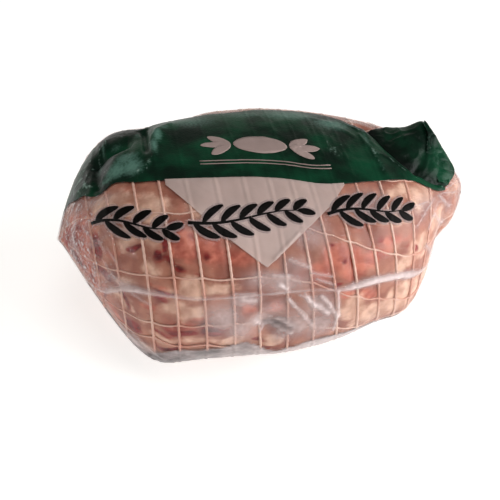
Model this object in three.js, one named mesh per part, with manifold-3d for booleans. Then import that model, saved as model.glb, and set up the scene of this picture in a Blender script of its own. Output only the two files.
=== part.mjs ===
// A raw boneless lamb shoulder: the meat is rolled, held in an elastic roasting net and sealed in a
// shrink bag. What can be touched is one closed skin, the bag drawn tight over the netted roll, so the
// pack is one solid. The net, the bag's two edge creases, the crumpled left end, the dimple, the gathers
// and the tab of spare film at the right end are relief on it.
// Millimetres. +X runs along the roll, -Y is the front and +Z is up. The origin is under the middle.

import * as THREE from 'three';
import { mergeVertices } from 'three/addons/utils/BufferGeometryUtils.js';
import Module from 'manifold-3d';

// The roll: half its length, then its reach to the front, back, crown and belly from its middle line.
const HALF_LENGTH = 115.5;
const FRONT = 78;
const BACK = 78.5;
const CROWN = 54;
const MIDDLE_HEIGHT = 53.5;
const PRESSED_FLAT = 4; // how far the belly would reach below the table if it weren't pressed flat
const BELLY = MIDDLE_HEIGHT + PRESSED_FLAT;
const SQUARENESS = 2.4; // exponent of the section: 2 is an ellipse, more is squarer
const MEAN_RADIUS = 66; // relief in millimetres is laid on as a share of this radius

// How the roll closes at each end: (1 - |t|^reach)^(1/roundness), t from -1 to 1 along the roll.
const LEFT_TOP = { reach: 5.4, roundness: 1 };
const RIGHT_TOP = { reach: 1.4, roundness: 2.1 };
const LEFT_BELOW = { reach: 4.8, roundness: 0.75 };
const RIGHT_BELOW = { reach: 2.4, roundness: 1.1 };
const TIP_RISE = { left: 4, right: 7 }; // the tips sit this much above the middle line
const LEFT_TIP_BACK = 2;

// Muscle bulges and hollows: place along X, angle round the roll (0 is the front, 90 the crown),
// half spans in millimetres and degrees, and how far each stands out.
const LUMPS = [
  { name: 'lower left corner', x: -75, angle: -45, long: 19, wide: 26, rise: 8 },
  { name: 'notch behind the left end', x: -60, angle: 138, long: 13, wide: 18, rise: -11 },
  { name: 'hollow under the right tip', x: 95.5, angle: -20, long: 8, wide: 34, rise: -20 },
  { name: 'shoulder of the right end', x: 71, angle: -38, long: 15, wide: 28, rise: 9.5 },
  { name: 'right knob', x: 106, angle: 45, long: 9, wide: 40, rise: 8.5 },
  { name: 'dip in the crown', x: -40, angle: 138, long: 12, wide: 18, rise: -4.5 },
  { name: 'dimple', x: -12, angle: -4, long: 8, wide: 6, rise: -4 },
  { name: 'lobe under the dimple', x: -6, angle: -22, long: 18, wide: 9, rise: 2.5 },
  { name: 'left cushion', x: -88, angle: 8, long: 14, wide: 14, rise: 1.5 },
  { name: 'back shank', x: 38, angle: 196, long: 26, wide: 22, rise: 4 },
  { name: 'back hollow', x: -18, angle: 178, long: 16, wide: 16, rise: -4 },
];

// Folds of the crumpled film: each runs from one place to another, with its half width and rise.
const FOLDS = [
  { from: [-88, 102], to: [-81, 120], width: 4, rise: 3 },
  { from: [-73, 100], to: [-87, 101], width: 5, rise: -3.5 },
  { from: [-87, 101], to: [-92, 78], width: 5, rise: -3.5 },
  { from: [-90, 86], to: [-67, 97], width: 5, rise: 2.5 },
  { from: [-62, 94], to: [-48, 113], width: 5, rise: 2.5 },
  { from: [-106, 100], to: [-99, 76], width: 5, rise: 2 },
  { from: [60, 104], to: [62, 66], width: 4, rise: 1.5 },
  { from: [-3, 10], to: [10, -6], width: 3, rise: 1.6 },
  { from: [10, 8], to: [21, -16], width: 3, rise: 1.6 },
  { from: [-96, 250], to: [-70, 205], width: 5, rise: 2.5 },
  { from: [96, 160], to: [72, 140], width: 5, rise: 2.5 },
];

// The net: strings that go round the roll, as [place at the front, how far they lean along X at the
// crown], and the angles of those that run along it.
const HOOPS = [
  [-96, -2], [-85.5, -2], [-72, -1], [-59, -1], [-45, -1.5], [-30.5, -1], [-17, 0], [-3, -1],
  [10.5, -3.5], [23, -6], [35, -6], [47.5, -6], [58.5, -3], [69.5, 2], [78.5, 9],
];
const LONG_STRINGS = [-60, -38, -15, -3, 24, 60, 126, 148, 192, 214, 236, 258, 280];
const STRING = 1.9; // how far a string stands out of the groove that it presses into the meat
const GROOVE = 2;
const STRING_HALF = 0.9;
const GROOVE_HALF = 3;
const LONG_STRING_RISE = 0.9;
const LONG_STRING_HALF = 2; // degrees

// The bag was made as a flat tube, and its two edges stay as creases along the front and the back.
const FRONT_CREASE = 12;
const BACK_CREASE = 168;
const CREASE_RISE = 1.8;
const CREASE_HALF = 1.5; // degrees
const CREASE_SIDE = 2.2; // degrees from a crease to the rows of vertices on either side of it
const CREASE_REACH = 40; // degrees round the roll over which the rows follow the crease
const CREASE_TILT = 0.05; // degrees lower for each millimetre to the right
const CREASE_DROP_LEFT = { most: 8, at: 98, power: 10 };
const CREASE_DROP_RIGHT = { most: 16, at: 79, power: 3.2 };
const CREASE_DROP_LIMIT = 24;

// The ends of the bag are gathered into pleats that run to the tips.
const PLEATS = 9;
const PLEAT_DEPTH = 1.6;
const PLEATS_START = 0.8;

// How fine the skin is: degrees between rows, and places and leans of the columns past the last hoops.
const ROW_STEP = 5.6;
const LEFT_COLUMNS = [[-114.9, 0], [-113, 0], [-110, -0.5], [-106, -1], [-101.5, -1.5]];
const RIGHT_COLUMNS = [
  [84.5, 7.5], [89.5, 5.5], [94.5, 4], [99.5, 2.5], [104, 1.5],
  [108.2, 0.8], [111.5, 0], [113.7, 0], [115, 0],
];
const BESIDE_HOOP = 2.4;

// The tab: spare film at the right end, folded over. Its root lies on the roll, its rim stands clear.
const TAB_ROOT = [[72, 19, 93], [75, 11, 93], [78, 2, 92], [82, -8, 90], [86, -17, 87], [92, -24, 82]];
const TAB_RIM = [[75, 23, 95], [85, 19, 96.5], [94, 17, 100], [99, 4, 94.5], [105, -9, 84], [101, -17, 80]];
const TAB_FOLD = [[94, 9, 98], [90, -6, 91], [92.5, -20, 84]];
const TAB_SINK = 6; // how deep the root reaches into the roll
const TAB_HALF_THICKNESS = 1.6;
const TAB_FOLD_RISE = 2.2;
const TAB_FOLD_HALF = 2.5;
const TAB_STEPS_ROUND = 15;
const TAB_STEPS_OUT = 5;

const DEGREE = Math.PI / 180;
const bump = (distance, half) => Math.exp(-((distance / half) ** 2));
const signedPower = (value, power) => Math.sign(value) * Math.abs(value) ** power;
const turnBetween = (a, b) => ((((a - b + 180) % 360) + 360) % 360) - 180;

function closing(t, end) {
  return (1 - Math.min(1, Math.abs(t)) ** end.reach) ** (1 / end.roundness);
}

// How many degrees the front crease drops below its middle place towards the ends of the roll.
function creaseDrop(x) {
  const end = x < 0 ? CREASE_DROP_LEFT : CREASE_DROP_RIGHT;
  const drop = CREASE_TILT * x + end.most * (Math.abs(x) / end.at) ** end.power;
  return Math.min(CREASE_DROP_LIMIT, drop);
}

// Rows bend towards the ends so that one of them lies along each crease.
function rowAngle(row, x) {
  const drop = creaseDrop(x);
  const front = bump(turnBetween(row, FRONT_CREASE), CREASE_REACH);
  const back = bump(turnBetween(row, BACK_CREASE), CREASE_REACH);
  return row - drop * front + drop * back;
}

function foldRelief(x, angle) {
  let rise = 0;
  for (const fold of FOLDS) {
    const along = [fold.to[0] - fold.from[0], (fold.to[1] - fold.from[1]) * DEGREE * MEAN_RADIUS];
    const here = [x - fold.from[0], turnBetween(angle, fold.from[1]) * DEGREE * MEAN_RADIUS];
    const length = Math.hypot(along[0], along[1]);
    const share = THREE.MathUtils.clamp((here[0] * along[0] + here[1] * along[1]) / length ** 2, 0, 1);
    rise += fold.rise * bump(Math.hypot(here[0] - share * along[0], here[1] - share * along[1]), fold.width);
  }
  return rise;
}

// Where a hoop or a column of vertices lies along X, at a given angle round the roll.
const leaning = ([front, lean], angle) => front + lean * Math.sin(angle * DEGREE);

function netRelief(x, row) {
  let rise = 0;
  for (const hoop of HOOPS) {
    const away = x - leaning(hoop, row);
    rise += STRING * bump(away, STRING_HALF) - GROOVE * bump(away, GROOVE_HALF);
  }
  for (const string of LONG_STRINGS) {
    rise += LONG_STRING_RISE * bump(turnBetween(row, string), LONG_STRING_HALF);
  }
  return rise;
}

function creaseRelief(row) {
  const front = bump(turnBetween(row, FRONT_CREASE), CREASE_HALF);
  const back = bump(turnBetween(row, BACK_CREASE), CREASE_HALF);
  return CREASE_RISE * (front + back);
}

function relief(x, row, angle) {
  const t = Math.abs(x) / HALF_LENGTH;
  let rise = netRelief(x, row) + creaseRelief(row) + foldRelief(x, angle);
  for (const lump of LUMPS) {
    rise += lump.rise * bump(x - lump.x, lump.long) * bump(turnBetween(angle, lump.angle), lump.wide);
  }
  const gathered = THREE.MathUtils.smoothstep(t, PLEATS_START, 1);
  return rise + PLEAT_DEPTH * gathered * Math.sin(PLEATS * angle * DEGREE);
}

// One place on the skin: a squarish section round the middle line, closed towards both tips, with the
// relief added outwards, and nothing below the table.
function skinPoint(x, row) {
  const t = x / HALF_LENGTH;
  const angle = rowAngle(row, x);
  const top = closing(t, t < 0 ? LEFT_TOP : RIGHT_TOP);
  const below = closing(t, t < 0 ? LEFT_BELOW : RIGHT_BELOW);
  const towardsTip = Math.abs(t) ** 1.5;
  const rise = (TIP_RISE.left * (1 - t) + TIP_RISE.right * (1 + t)) / 2;
  const middle = {
    y: (LEFT_TIP_BACK * (1 - t) * towardsTip) / 2,
    z: MIDDLE_HEIGHT + rise * towardsTip,
  };
  const across = signedPower(Math.cos(angle * DEGREE), 2 / SQUARENESS);
  const up = signedPower(Math.sin(angle * DEGREE), 2 / SQUARENESS);
  const grow = 1 + relief(x, row, angle) / MEAN_RADIUS;
  const y = middle.y - across * (across > 0 ? FRONT * below : BACK * top) * grow;
  const z = middle.z + up * (up > 0 ? CROWN * top : BELLY * below) * grow;
  return [x, y, Math.max(0, z)];
}

function evenSteps(from, to, step) {
  const count = Math.round((to - from) / step);
  return Array.from({ length: count - 1 }, (_, i) => from + ((to - from) * (i + 1)) / count);
}

function skinRows() {
  const crease = (middle) => [middle - CREASE_SIDE, middle, middle + CREASE_SIDE];
  return [
    ...crease(FRONT_CREASE),
    ...evenSteps(FRONT_CREASE + CREASE_SIDE, BACK_CREASE - CREASE_SIDE, ROW_STEP),
    ...crease(BACK_CREASE),
    ...evenSteps(BACK_CREASE + CREASE_SIDE, FRONT_CREASE + 360 - CREASE_SIDE, ROW_STEP),
  ];
}

// Columns of vertices lie on each hoop, close on both sides of it and half way to the next one.
function skinColumns() {
  const columns = [...LEFT_COLUMNS];
  HOOPS.forEach(([front, lean], i) => {
    for (const beside of [-BESIDE_HOOP, 0, BESIDE_HOOP]) columns.push([front + beside, lean]);
    const next = HOOPS[i + 1];
    if (next) columns.push([(front + next[0]) / 2, (lean + next[1]) / 2]);
  });
  return [...columns, ...RIGHT_COLUMNS];
}

// The skin as a grid of rings of vertices, closed by one vertex at each tip.
function skinGeometry() {
  const rows = skinRows();
  const columns = skinColumns();
  const positions = [];
  const faces = [];
  for (const column of columns) {
    for (const row of rows) positions.push(...skinPoint(leaning(column, row), row));
  }
  const leftTip = columns.length * rows.length;
  const rightTip = leftTip + 1;
  positions.push(...skinPoint(-HALF_LENGTH, 0), ...skinPoint(HALF_LENGTH, 0));
  const at = (column, row) => column * rows.length + (row % rows.length);
  for (let row = 0; row < rows.length; row += 1) {
    faces.push(leftTip, at(0, row), at(0, row + 1));
    faces.push(rightTip, at(columns.length - 1, row + 1), at(columns.length - 1, row));
    for (let c = 0; c < columns.length - 1; c += 1) {
      faces.push(at(c, row), at(c + 1, row), at(c + 1, row + 1));
      faces.push(at(c, row), at(c + 1, row + 1), at(c, row + 1));
    }
  }
  return indexedGeometry(positions, faces);
}

function indexedGeometry(positions, faces) {
  const geometry = new THREE.BufferGeometry();
  geometry.setAttribute('position', new THREE.Float32BufferAttribute(positions, 3));
  geometry.setIndex(faces);
  return geometry;
}

const curveThrough = (points) => new THREE.CatmullRomCurve3(points.map((p) => new THREE.Vector3(...p)));

// The tab as a thin leaf between its root and its rim, with a raised fold across its front.
function tabGeometry() {
  const root = curveThrough(TAB_ROOT);
  const rim = curveThrough(TAB_RIM);
  const fold = curveThrough(TAB_FOLD).getPoints(20);
  const inwards = new THREE.Vector3();
  const middleOfRoll = new THREE.Vector3();
  const place = (round, out) => {
    const from = root.getPoint(round);
    middleOfRoll.set(from.x, 0, MIDDLE_HEIGHT);
    inwards.subVectors(middleOfRoll, from).setLength(TAB_SINK);
    return from.add(inwards).lerp(rim.getPoint(round), out);
  };
  const small = 0.01;
  const facing = (round, out) => {
    const alongRoot = place(Math.min(1, round + small), out).sub(place(Math.max(0, round - small), out));
    const outwards = place(round, Math.min(1, out + small)).sub(place(round, Math.max(0, out - small)));
    return outwards.cross(alongRoot).normalize();
  };
  const positions = [];
  for (const side of [1, -1]) {
    for (let i = 0; i <= TAB_STEPS_ROUND; i += 1) {
      for (let j = 0; j <= TAB_STEPS_OUT; j += 1) {
        const point = place(i / TAB_STEPS_ROUND, j / TAB_STEPS_OUT);
        const normal = facing(i / TAB_STEPS_ROUND, j / TAB_STEPS_OUT);
        const nearest = Math.min(...fold.map((f) => f.distanceTo(point)));
        const raised = side > 0 ? TAB_FOLD_RISE * bump(nearest, TAB_FOLD_HALF) : 0;
        point.addScaledVector(normal, side * TAB_HALF_THICKNESS + raised);
        positions.push(point.x, point.y, point.z);
      }
    }
  }
  return indexedGeometry(positions, leafFaces());
}

// Faces of a leaf whose two sides are grids of the same size, joined by a wall round the edge.
function leafFaces() {
  const width = TAB_STEPS_OUT + 1;
  const back = width * (TAB_STEPS_ROUND + 1);
  const faces = [];
  const quad = (a, b, c, d) => faces.push(a, b, c, a, c, d);
  for (let i = 0; i < TAB_STEPS_ROUND; i += 1) {
    for (let j = 0; j < TAB_STEPS_OUT; j += 1) {
      const a = i * width + j;
      quad(a, a + 1, a + width + 1, a + width);
      quad(back + a, back + a + width, back + a + width + 1, back + a + 1);
    }
    const first = i * width;
    const last = first + TAB_STEPS_OUT;
    quad(first, first + width, back + first + width, back + first);
    quad(last + width, last, back + last, back + last + width);
  }
  const end = TAB_STEPS_ROUND * width;
  for (let j = 0; j < TAB_STEPS_OUT; j += 1) {
    quad(j + 1, j, back + j, back + j + 1);
    quad(end + j, end + j + 1, back + end + j + 1, back + end + j);
  }
  return faces;
}

const wasm = await Module();
wasm.setup();

// A closed geometry as a solid, turned right side out if its faces point inwards.
function solidOf(geometry) {
  const merged = mergeVertices(geometry, 1e-4);
  const index = Uint32Array.from(merged.index.array);
  const place = merged.attributes.position;
  const [a, b, c] = [new THREE.Vector3(), new THREE.Vector3(), new THREE.Vector3()];
  let volume = 0;
  for (let i = 0; i < index.length; i += 3) {
    a.fromBufferAttribute(place, index[i]);
    b.fromBufferAttribute(place, index[i + 1]);
    c.fromBufferAttribute(place, index[i + 2]);
    volume += a.dot(b.cross(c)) / 6;
  }
  if (volume < 0) {
    for (let i = 0; i < index.length; i += 3) [index[i], index[i + 1]] = [index[i + 1], index[i]];
  }
  return new wasm.Manifold(
    new wasm.Mesh({ numProp: 3, vertProperties: Float32Array.from(place.array), triVerts: index }),
  );
}

// The whole pack, set with its bounding box centred over the origin and its flat side at height 0.
function packGeometry() {
  const mesh = solidOf(skinGeometry()).add(solidOf(tabGeometry())).getMesh();
  const geometry = indexedGeometry(Array.from(mesh.vertProperties), Array.from(mesh.triVerts));
  geometry.computeBoundingBox();
  const { min, max } = geometry.boundingBox;
  geometry.translate(-(min.x + max.x) / 2, -(min.y + max.y) / 2, -min.z);
  geometry.computeVertexNormals();
  return geometry;
}

const pack = new THREE.Mesh(
  packGeometry(),
  new THREE.MeshStandardMaterial({ color: 0xc9a79b, roughness: 0.25, metalness: 0 }),
);
pack.name = 'pack';

const shoulder = new THREE.Group();
shoulder.add(pack);

export default shoulder;
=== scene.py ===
"""A raw boneless lamb shoulder, rolled, netted and sealed in a shrink bag with a green printed band.

Lengths are in millimetres and angles in degrees until a mesh is made. An angle goes round the roll: 0 is
the front, 90 the crown and 180 the back. X runs along the roll, to the right.
"""

import bpy
import numpy as np
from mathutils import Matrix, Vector


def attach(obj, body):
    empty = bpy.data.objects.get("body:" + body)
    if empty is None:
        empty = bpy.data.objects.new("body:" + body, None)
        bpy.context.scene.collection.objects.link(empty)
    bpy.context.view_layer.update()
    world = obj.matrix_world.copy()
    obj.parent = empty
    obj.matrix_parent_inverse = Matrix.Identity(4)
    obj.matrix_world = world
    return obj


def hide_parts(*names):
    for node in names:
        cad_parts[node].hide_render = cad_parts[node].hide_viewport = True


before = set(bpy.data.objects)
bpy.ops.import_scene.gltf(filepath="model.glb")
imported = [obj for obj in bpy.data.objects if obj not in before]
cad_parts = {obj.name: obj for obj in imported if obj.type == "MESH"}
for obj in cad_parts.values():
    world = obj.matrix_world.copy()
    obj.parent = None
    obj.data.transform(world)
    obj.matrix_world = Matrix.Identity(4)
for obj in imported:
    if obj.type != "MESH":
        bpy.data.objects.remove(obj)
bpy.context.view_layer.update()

# ------------------------------------------------------------------------------ the rolled meat
# A boned lamb shoulder, rolled up: salmon lean, seams of blood and cream fat under a thin membrane.
# It is soft and wet, so the net presses a groove into it wherever a string runs.

MM = 0.001
DEGREE = np.pi / 180
HALF_LENGTH = 115.5
FRONT, BACK, CROWN, MIDDLE_HEIGHT = 78, 78.5, 54, 53.5
PRESSED_FLAT = 4  # how far the belly would reach below the table if it weren't pressed flat
BELLY = MIDDLE_HEIGHT + PRESSED_FLAT
SQUARENESS = 2.4
MEAN_RADIUS = 66
LEFT_TOP, RIGHT_TOP = (5.4, 1), (1.4, 2.1)  # reach and roundness of the closing towards each tip
LEFT_BELOW, RIGHT_BELOW = (4.8, 0.75), (2.4, 1.1)
TIP_RISE = (4, 7)
LEFT_TIP_BACK = 2
TIP_POWER = 1.5  # how late the middle line starts to rise and to turn back towards a tip
BACKWARD = 0.51  # from the roll's middle line to the middle of the frame's box

# Muscle bulges and hollows: x, angle, half length, half width in degrees, and rise.
LUMPS = [
    (-75, -45, 19, 26, 8),  # lower left corner
    (-60, 138, 13, 18, -11),  # notch behind the left end
    (95.5, -20, 8, 34, -20),  # hollow under the right tip
    (71, -38, 15, 28, 9.5),  # shoulder of the right end
    (106, 45, 9, 40, 8.5),  # right knob
    (-40, 138, 12, 18, -4.5),  # dip in the crown
    (-12, -4, 8, 6, -4),  # dimple
    (-6, -22, 18, 9, 2.5),  # lobe under the dimple
    (-88, 8, 14, 14, 1.5),  # left cushion
    (38, 196, 26, 22, 4),  # back shank
    (-18, 178, 16, 16, -4),  # back hollow
]

# The net's strings round the roll: place at the front, and lean along X at the crown.
HOOPS = [
    (-96, -2), (-85.5, -2), (-72, -1), (-59, -1), (-45, -1.5), (-30.5, -1), (-17, 0), (-3, -1),
    (10.5, -3.5), (23, -6), (35, -6), (47.5, -6), (58.5, -3), (69.5, 2), (78.5, 9),
]

# The strings along the roll, as (x, angle) points.
LONG_STRINGS = [
    [(-112, 70), (-98, 60.8), (-92, 58), (-66, 60), (-59, 59), (-20, 58), (5, 48), (22.5, 40.5),
     (33, 35), (44, 28), (56.4, 19.5), (65, 13), (74, 8), (90, 4), (108, 0)],
    [(-112, 10), (-96, 16), (-86.6, 20), (-78, 22.5), (-47.5, 24), (-30.5, 22.5), (-21.6, 23),
     (10, 16), (30, 4), (49, -4.5), (71.5, -20), (90, -22), (108, -20)],
    [(-112, -26), (-91, -11), (-84, -6), (-76, -4), (-62, -2), (-46.7, -1), (-19, -1.5), (11, -7.5),
     (25, -14), (37, -22.5), (60, -31), (90, -36), (108, -40)],
    [(-112, -38), (-92, -26), (-81, -20), (-72, -14), (-59, -16), (-46.7, -14), (-20, -22), (10, -31),
     (50, -46), (90, -55), (108, -60)],
    [(-112, 98), (-60, 84), (0, 80), (50, 70), (90, 62), (108, 50)],
]
LONG_STRINGS += [[(-112, a), (-50, a + 2), (20, a - 2), (108, a + 3)] for a in range(108, 310, 23)]
SCALLOP = 0.8  # degrees that a long string sags between two hoops

NET_PRESS, NET_PRESS_HALF = 0.45, 2.2
LONG_PRESS, LONG_PRESS_HALF = 0.3, 1.8
MEAT_BELOW_FILM = 0.55
MEAT_FLOOR = 0.7
SEAM_DEPTH, SEAM_LENGTH, SEAM_SHARPNESS = 0.6, 60, 3

# Where the meat shows its lean, its fat and its blood: x, angle, half length, half width, amount. Some of
# them are painted shade, as marked.
LEAN = [
    (-53, 42, 10, 11, 1), (-40, 39, 13, 12, 0.9), (-27, 34, 11, 8, 0.8), (-64, 18, 4.5, 3.5, 0.9),
    (-67, 10, 5, 3.5, 1), (-49, 2, 5.5, 3.5, 0.9), (-58, -2.5, 10, 3, 0.9), (-90, -16, 4, 6, 0.8),
    (-84, -18, 6, 3, 0.9), (-73, 5, 4.5, 3, 0.8), (-72, 18, 4, 3, 0.6), (-90, 30, 4.5, 6, 0.6),
    (-84.5, 30, 2, 8, 0.6), (-95, 56, 3, 8, 0.6), (-72, 66, 3, 9, 0.6), (-77, 74, 6, 3, 0.6),
    (-59, 62, 5, 6, 0.45), (-23, 5, 5, 4, 0.8), (-11, 5, 7, 4.5, 0.9), (-12, 14.5, 6, 1.2, 0.8),
    (15, 20, 9, 7, 0.9), (24, 28, 11, 10, 1), (33, 23, 9, 14, 1), (46, 22, 9, 8, 0.95),
    (56, 30, 8, 5, 0.9), (66, 27, 5, 3, 0.6), (41, 2, 7, 3.5, 0.9), (30, 5, 6, 3, 0.9),
    (38, 44, 12, 6, 0.5), (48, 56, 9, 6, 0.4), (66, 19.5, 4, 2, 0.8), (80, 34, 3, 8, 0.5),
    # (-106, 30) is painted shade: a wide patch of lean that darkens the left tip.
    (96, 50, 4, 5, 0.8), (3, 22, 7, 6, 0.6), (-106, 30, 11, 60, 1.1), (-98, -10, 8, 14, 1),
    (-30, 150, 24, 9, 0.8), (30, 140, 22, 8, 0.7), (60, 170, 16, 10, 0.8), (-70, 172, 14, 10, 0.7),
    (0, 196, 26, 8, 0.7), (-52, 210, 22, 10, 0.6), (48, 222, 24, 8, 0.7), (0, 250, 40, 12, 0.5),
]
FAT = [
    (-80, 44, 11, 9, 0.75), (-86, 70, 14, 7, 1), (-68, 43, 7, 9, 0.9), (-71, 28, 6, 6, 0.8),
    (-68, 63, 14, 10, 0.9), (-48, 17.5, 15, 6, 1), (-34, 17, 8, 6, 0.8), (-56, 5, 13, 5.5, 1),
    (-33, -13, 8, 4, 0.9), (-50, -12, 14, 4.5, 0.85), (-67, -14, 8, 4, 0.8), (-84, 14, 7, 4, 0.8),
    (-86, 1, 6, 6, 0.7), (-78, -5, 7, 5, 0.55), (-76, -27, 8, 5, 0.7), (-11, -12.5, 9, 3.5, 1),
    (32, -5, 12, 8, 1), (46, -14, 16, 10, 1), (62, 9, 9, 6, 0.9), (64, -14, 18, 13, 1),
    (78, 52, 12, 12, 1), (64, 42, 8, 7, 0.8), (27, 25, 2.5, 6, 0.45), (74, 12, 9, 12, 0.9),
    (88, 22, 10, 18, 0.65), (104, 44, 10, 20, 0.6), (100, 70, 8, 12, 0.7), (10, 62, 14, 9, 0.8),
    (-40, 58, 10, 8, 0.6), (84, -20, 12, 18, 1), (68, 60, 12, 7, 0.8), (52, 46, 8, 7, 0.7),
    (-10, 165, 20, 8, 0.9), (46, 156, 14, 7, 0.8), (-58, 150, 10, 8, 0.8), (20, 215, 20, 7, 0.9),
    (-30, 230, 22, 7, 0.9), (80, 200, 12, 14, 0.9), (-90, 200, 12, 14, 0.8), (-20, 270, 40, 12, 0.9),
]
BLOOD = [
    (-95, 32, 2, 16, 0.85), (-93.5, 12, 4, 4, 1), (-77, 39.5, 4.5, 2.4, 1), (-84.5, 3, 1.6, 8, 0.85),
    (-93, -6, 1.6, 8, 0.8), (-82, -15, 4.5, 6, 0.8), (-59, 42, 2, 12, 0.8), (-54, 51, 5, 2, 0.8),
    (-42, 34.5, 4, 3, 0.8), (-57, 26.5, 4, 3.5, 0.85), (-64, 33.5, 4.2, 4.2, 1), (-64.5, 15, 7, 2.2, 0.95),
    # (-67, -9.5) is a painted shadow of a fold, drawn as blood.
    (-68, 10, 6, 1.8, 0.85), (-57, -5.5, 10, 2.8, 1), (-42, -4.5, 7, 3.2, 1), (-67, -9.5, 7, 1.8, 0.7),
    (-65.5, -20, 8, 2.3, 1), (-19, -12, 5, 1.3, 1), (-13, -16, 5, 1.3, 0.9), (-7, -18, 4, 1.1, 0.8),
    # (-108, 20) is painted shade: a wide patch of blood that darkens the left tip.
    (-108, 20, 7, 60, 0.6), (22, 34.5, 2, 1.6, 0.8), (27.5, 25, 2.6, 2, 0.8), (25, 11, 3.5, 1.6, 0.8),
    (49, 32, 2, 2.6, 0.6), (-60, 30, 2.4, 9, 0.75), (-66, 8, 9, 3, 0.7), (66, 19.5, 3.5, 1.3, 0.7),
    (70, 12, 1.4, 5, 0.8), (93, 54, 3.4, 3, 1), (98, 50, 3, 1.2, 0.7),
    (-46, 24.5, 6, 1, 0.5), (-106, 0, 2.4, 14, 0.9), (-101, -4, 1.6, 7, 0.9), (-104, 52, 2, 8, 0.7),
    (-72, 1, 4, 1.4, 0.7), (-49, 46, 3, 4, 0.5), (34, 14, 5, 1.4, 0.5), (41, 5.5, 5, 1.2, 0.5),
    (-30, 158, 10, 2, 0.9), (24, 148, 7, 2, 0.8), (66, 184, 6, 2.4, 0.9), (-60, 188, 8, 2, 0.9),
    (10, 206, 12, 1.8, 0.8), (-24, 222, 9, 2, 0.8), (52, 236, 10, 2, 0.8),
]
MARK_WANDER, WANDER_LENGTH = 1.6, 17  # how far the edges of these patches wander, and over what length
RIPPLE_SPREAD = (0.7, 1.4)  # the least and the greatest length of a ripple, as a share of the length given
MEAT_COLUMNS = (14, 16, 28)  # between two hoops, past the first, past the last
MEAT_ROWS = 290
HOOP_CROWDING = 0.45  # how strongly columns crowd at a hoop, from 0 to 1
LEFT_CROWDING, RIGHT_CROWDING = 1.5, 1.7  # the powers by which they crowd towards the tips


def bump(distance, half):
    """A bell: e to the power of minus the square of distance over half."""
    return np.exp(-((distance / half) ** 2))


def turn_between(a, b):
    """The turn from b to a, from -180 to 180."""
    return (a - b + 180) % 360 - 180


def smoothstep(value, low, high):
    """0 below low and 1 above high, joined by 3 t^2 - 2 t^3."""
    t = np.clip((value - low) / (high - low), 0, 1)
    return t * t * (3 - 2 * t)


def smooth_line(x, points):
    """The value at x of a cubic through (x, value) points, with the mean slope of both sides at each."""
    at, value = np.array(points, float).T
    chord = np.diff(value) / np.diff(at)
    slope = np.concatenate([chord[:1], (chord[1:] + chord[:-1]) / 2, chord[-1:]])
    x = np.clip(x, at[0], at[-1])
    i = np.clip(np.searchsorted(at, x, side="right") - 1, 0, len(at) - 2)
    step = at[i + 1] - at[i]
    t = (x - at[i]) / step
    ends = value[i] * (1 + 2 * t) * (1 - t) ** 2 + value[i + 1] * t**2 * (3 - 2 * t)
    return ends + step * (slope[i] * t * (1 - t) ** 2 - slope[i + 1] * t**2 * (1 - t))


def on_roll(x, angle, rise, floor=0.0):
    """Places on the roll: a superellipse round the middle line, which shrinks towards each tip by
    (1 - |t| ** reach) ** (1 / roundness), with t the share of the half length. The rise is added
    outwards as a share of the mean radius, and nothing lies below the floor."""
    t = np.clip(x / HALF_LENGTH, -1, 1)

    def closing(left, right):
        reach, roundness = (np.where(t < 0, a, b) for a, b in zip(left, right))
        return (1 - np.abs(t) ** reach) ** (1 / roundness)

    top, below = closing(LEFT_TOP, RIGHT_TOP), closing(LEFT_BELOW, RIGHT_BELOW)
    to_tip = np.abs(t) ** TIP_POWER
    middle_y = LEFT_TIP_BACK * (1 - t) * to_tip / 2 + BACKWARD
    middle_z = MIDDLE_HEIGHT + (TIP_RISE[0] * (1 - t) + TIP_RISE[1] * (1 + t)) / 2 * to_tip
    cosine, sine = np.cos(angle * DEGREE), np.sin(angle * DEGREE)
    across = np.sign(cosine) * np.abs(cosine) ** (2 / SQUARENESS)
    up = np.sign(sine) * np.abs(sine) ** (2 / SQUARENESS)
    grow = 1 + rise / MEAN_RADIUS
    y = middle_y - across * np.where(across > 0, FRONT * below, BACK * top) * grow
    z = middle_z + up * np.where(up > 0, CROWN * top, BELLY * below) * grow
    return np.stack(np.broadcast_arrays(x, y, np.maximum(z, floor)), axis=-1)


def ripples(places, length, seed, waves=14):
    """Soft random relief, about -1 to 1: the sum of sines along random directions in space, each about
    the given length, with seeded directions and phases."""
    draw = np.random.default_rng(seed)
    total = np.zeros(places.shape[:-1])
    for _ in range(waves):
        direction = draw.normal(size=3)
        direction /= np.linalg.norm(direction) * length * draw.uniform(*RIPPLE_SPREAD)
        total += np.sin(2 * np.pi * (places @ direction) + draw.uniform(0, 2 * np.pi))
    return total / np.sqrt(waves)


def hoop_sum(x, angle, half):
    """The sum over the hoops of a bell of the distance from each, along X."""
    return sum(bump(x - front - lean * np.sin(angle * DEGREE), half) for front, lean in HOOPS)


def string_angle(x, points):
    """Where a long string lies: its smooth line, less a scallop that is deepest between two hoops."""
    fronts = [front for front, lean in HOOPS]
    gap = np.interp(x, fronts, range(len(fronts)))
    return smooth_line(x, points) - SCALLOP * np.abs(np.sin(np.pi * gap))


def long_sum(x, angle, half):
    """The sum over the long strings of a bell of the distance from each, round the roll."""
    away = [turn_between(angle, string_angle(x, points)) for points in LONG_STRINGS]
    return sum(bump(a * DEGREE * MEAN_RADIUS, half) for a in away)


def lump_rise(x, angle):
    """The bulges: each is its rise times a bell along X and a bell round the roll."""
    return sum(
        rise * bump(x - at, long) * bump(turn_between(angle, round_), wide)
        for at, round_, long, wide, rise in LUMPS
    )


def marks(x, angle, patches):
    """The strongest of the patches at each place: each is its amount times a bell of the distance from
    its middle, counted in half lengths along X and in half widths round the roll."""
    amounts = [
        amount * bump(np.hypot((x - at) / long, turn_between(angle, round_) / wide), 1)
        for at, round_, long, wide, amount in patches
    ]
    return np.max(amounts, axis=0)


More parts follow.
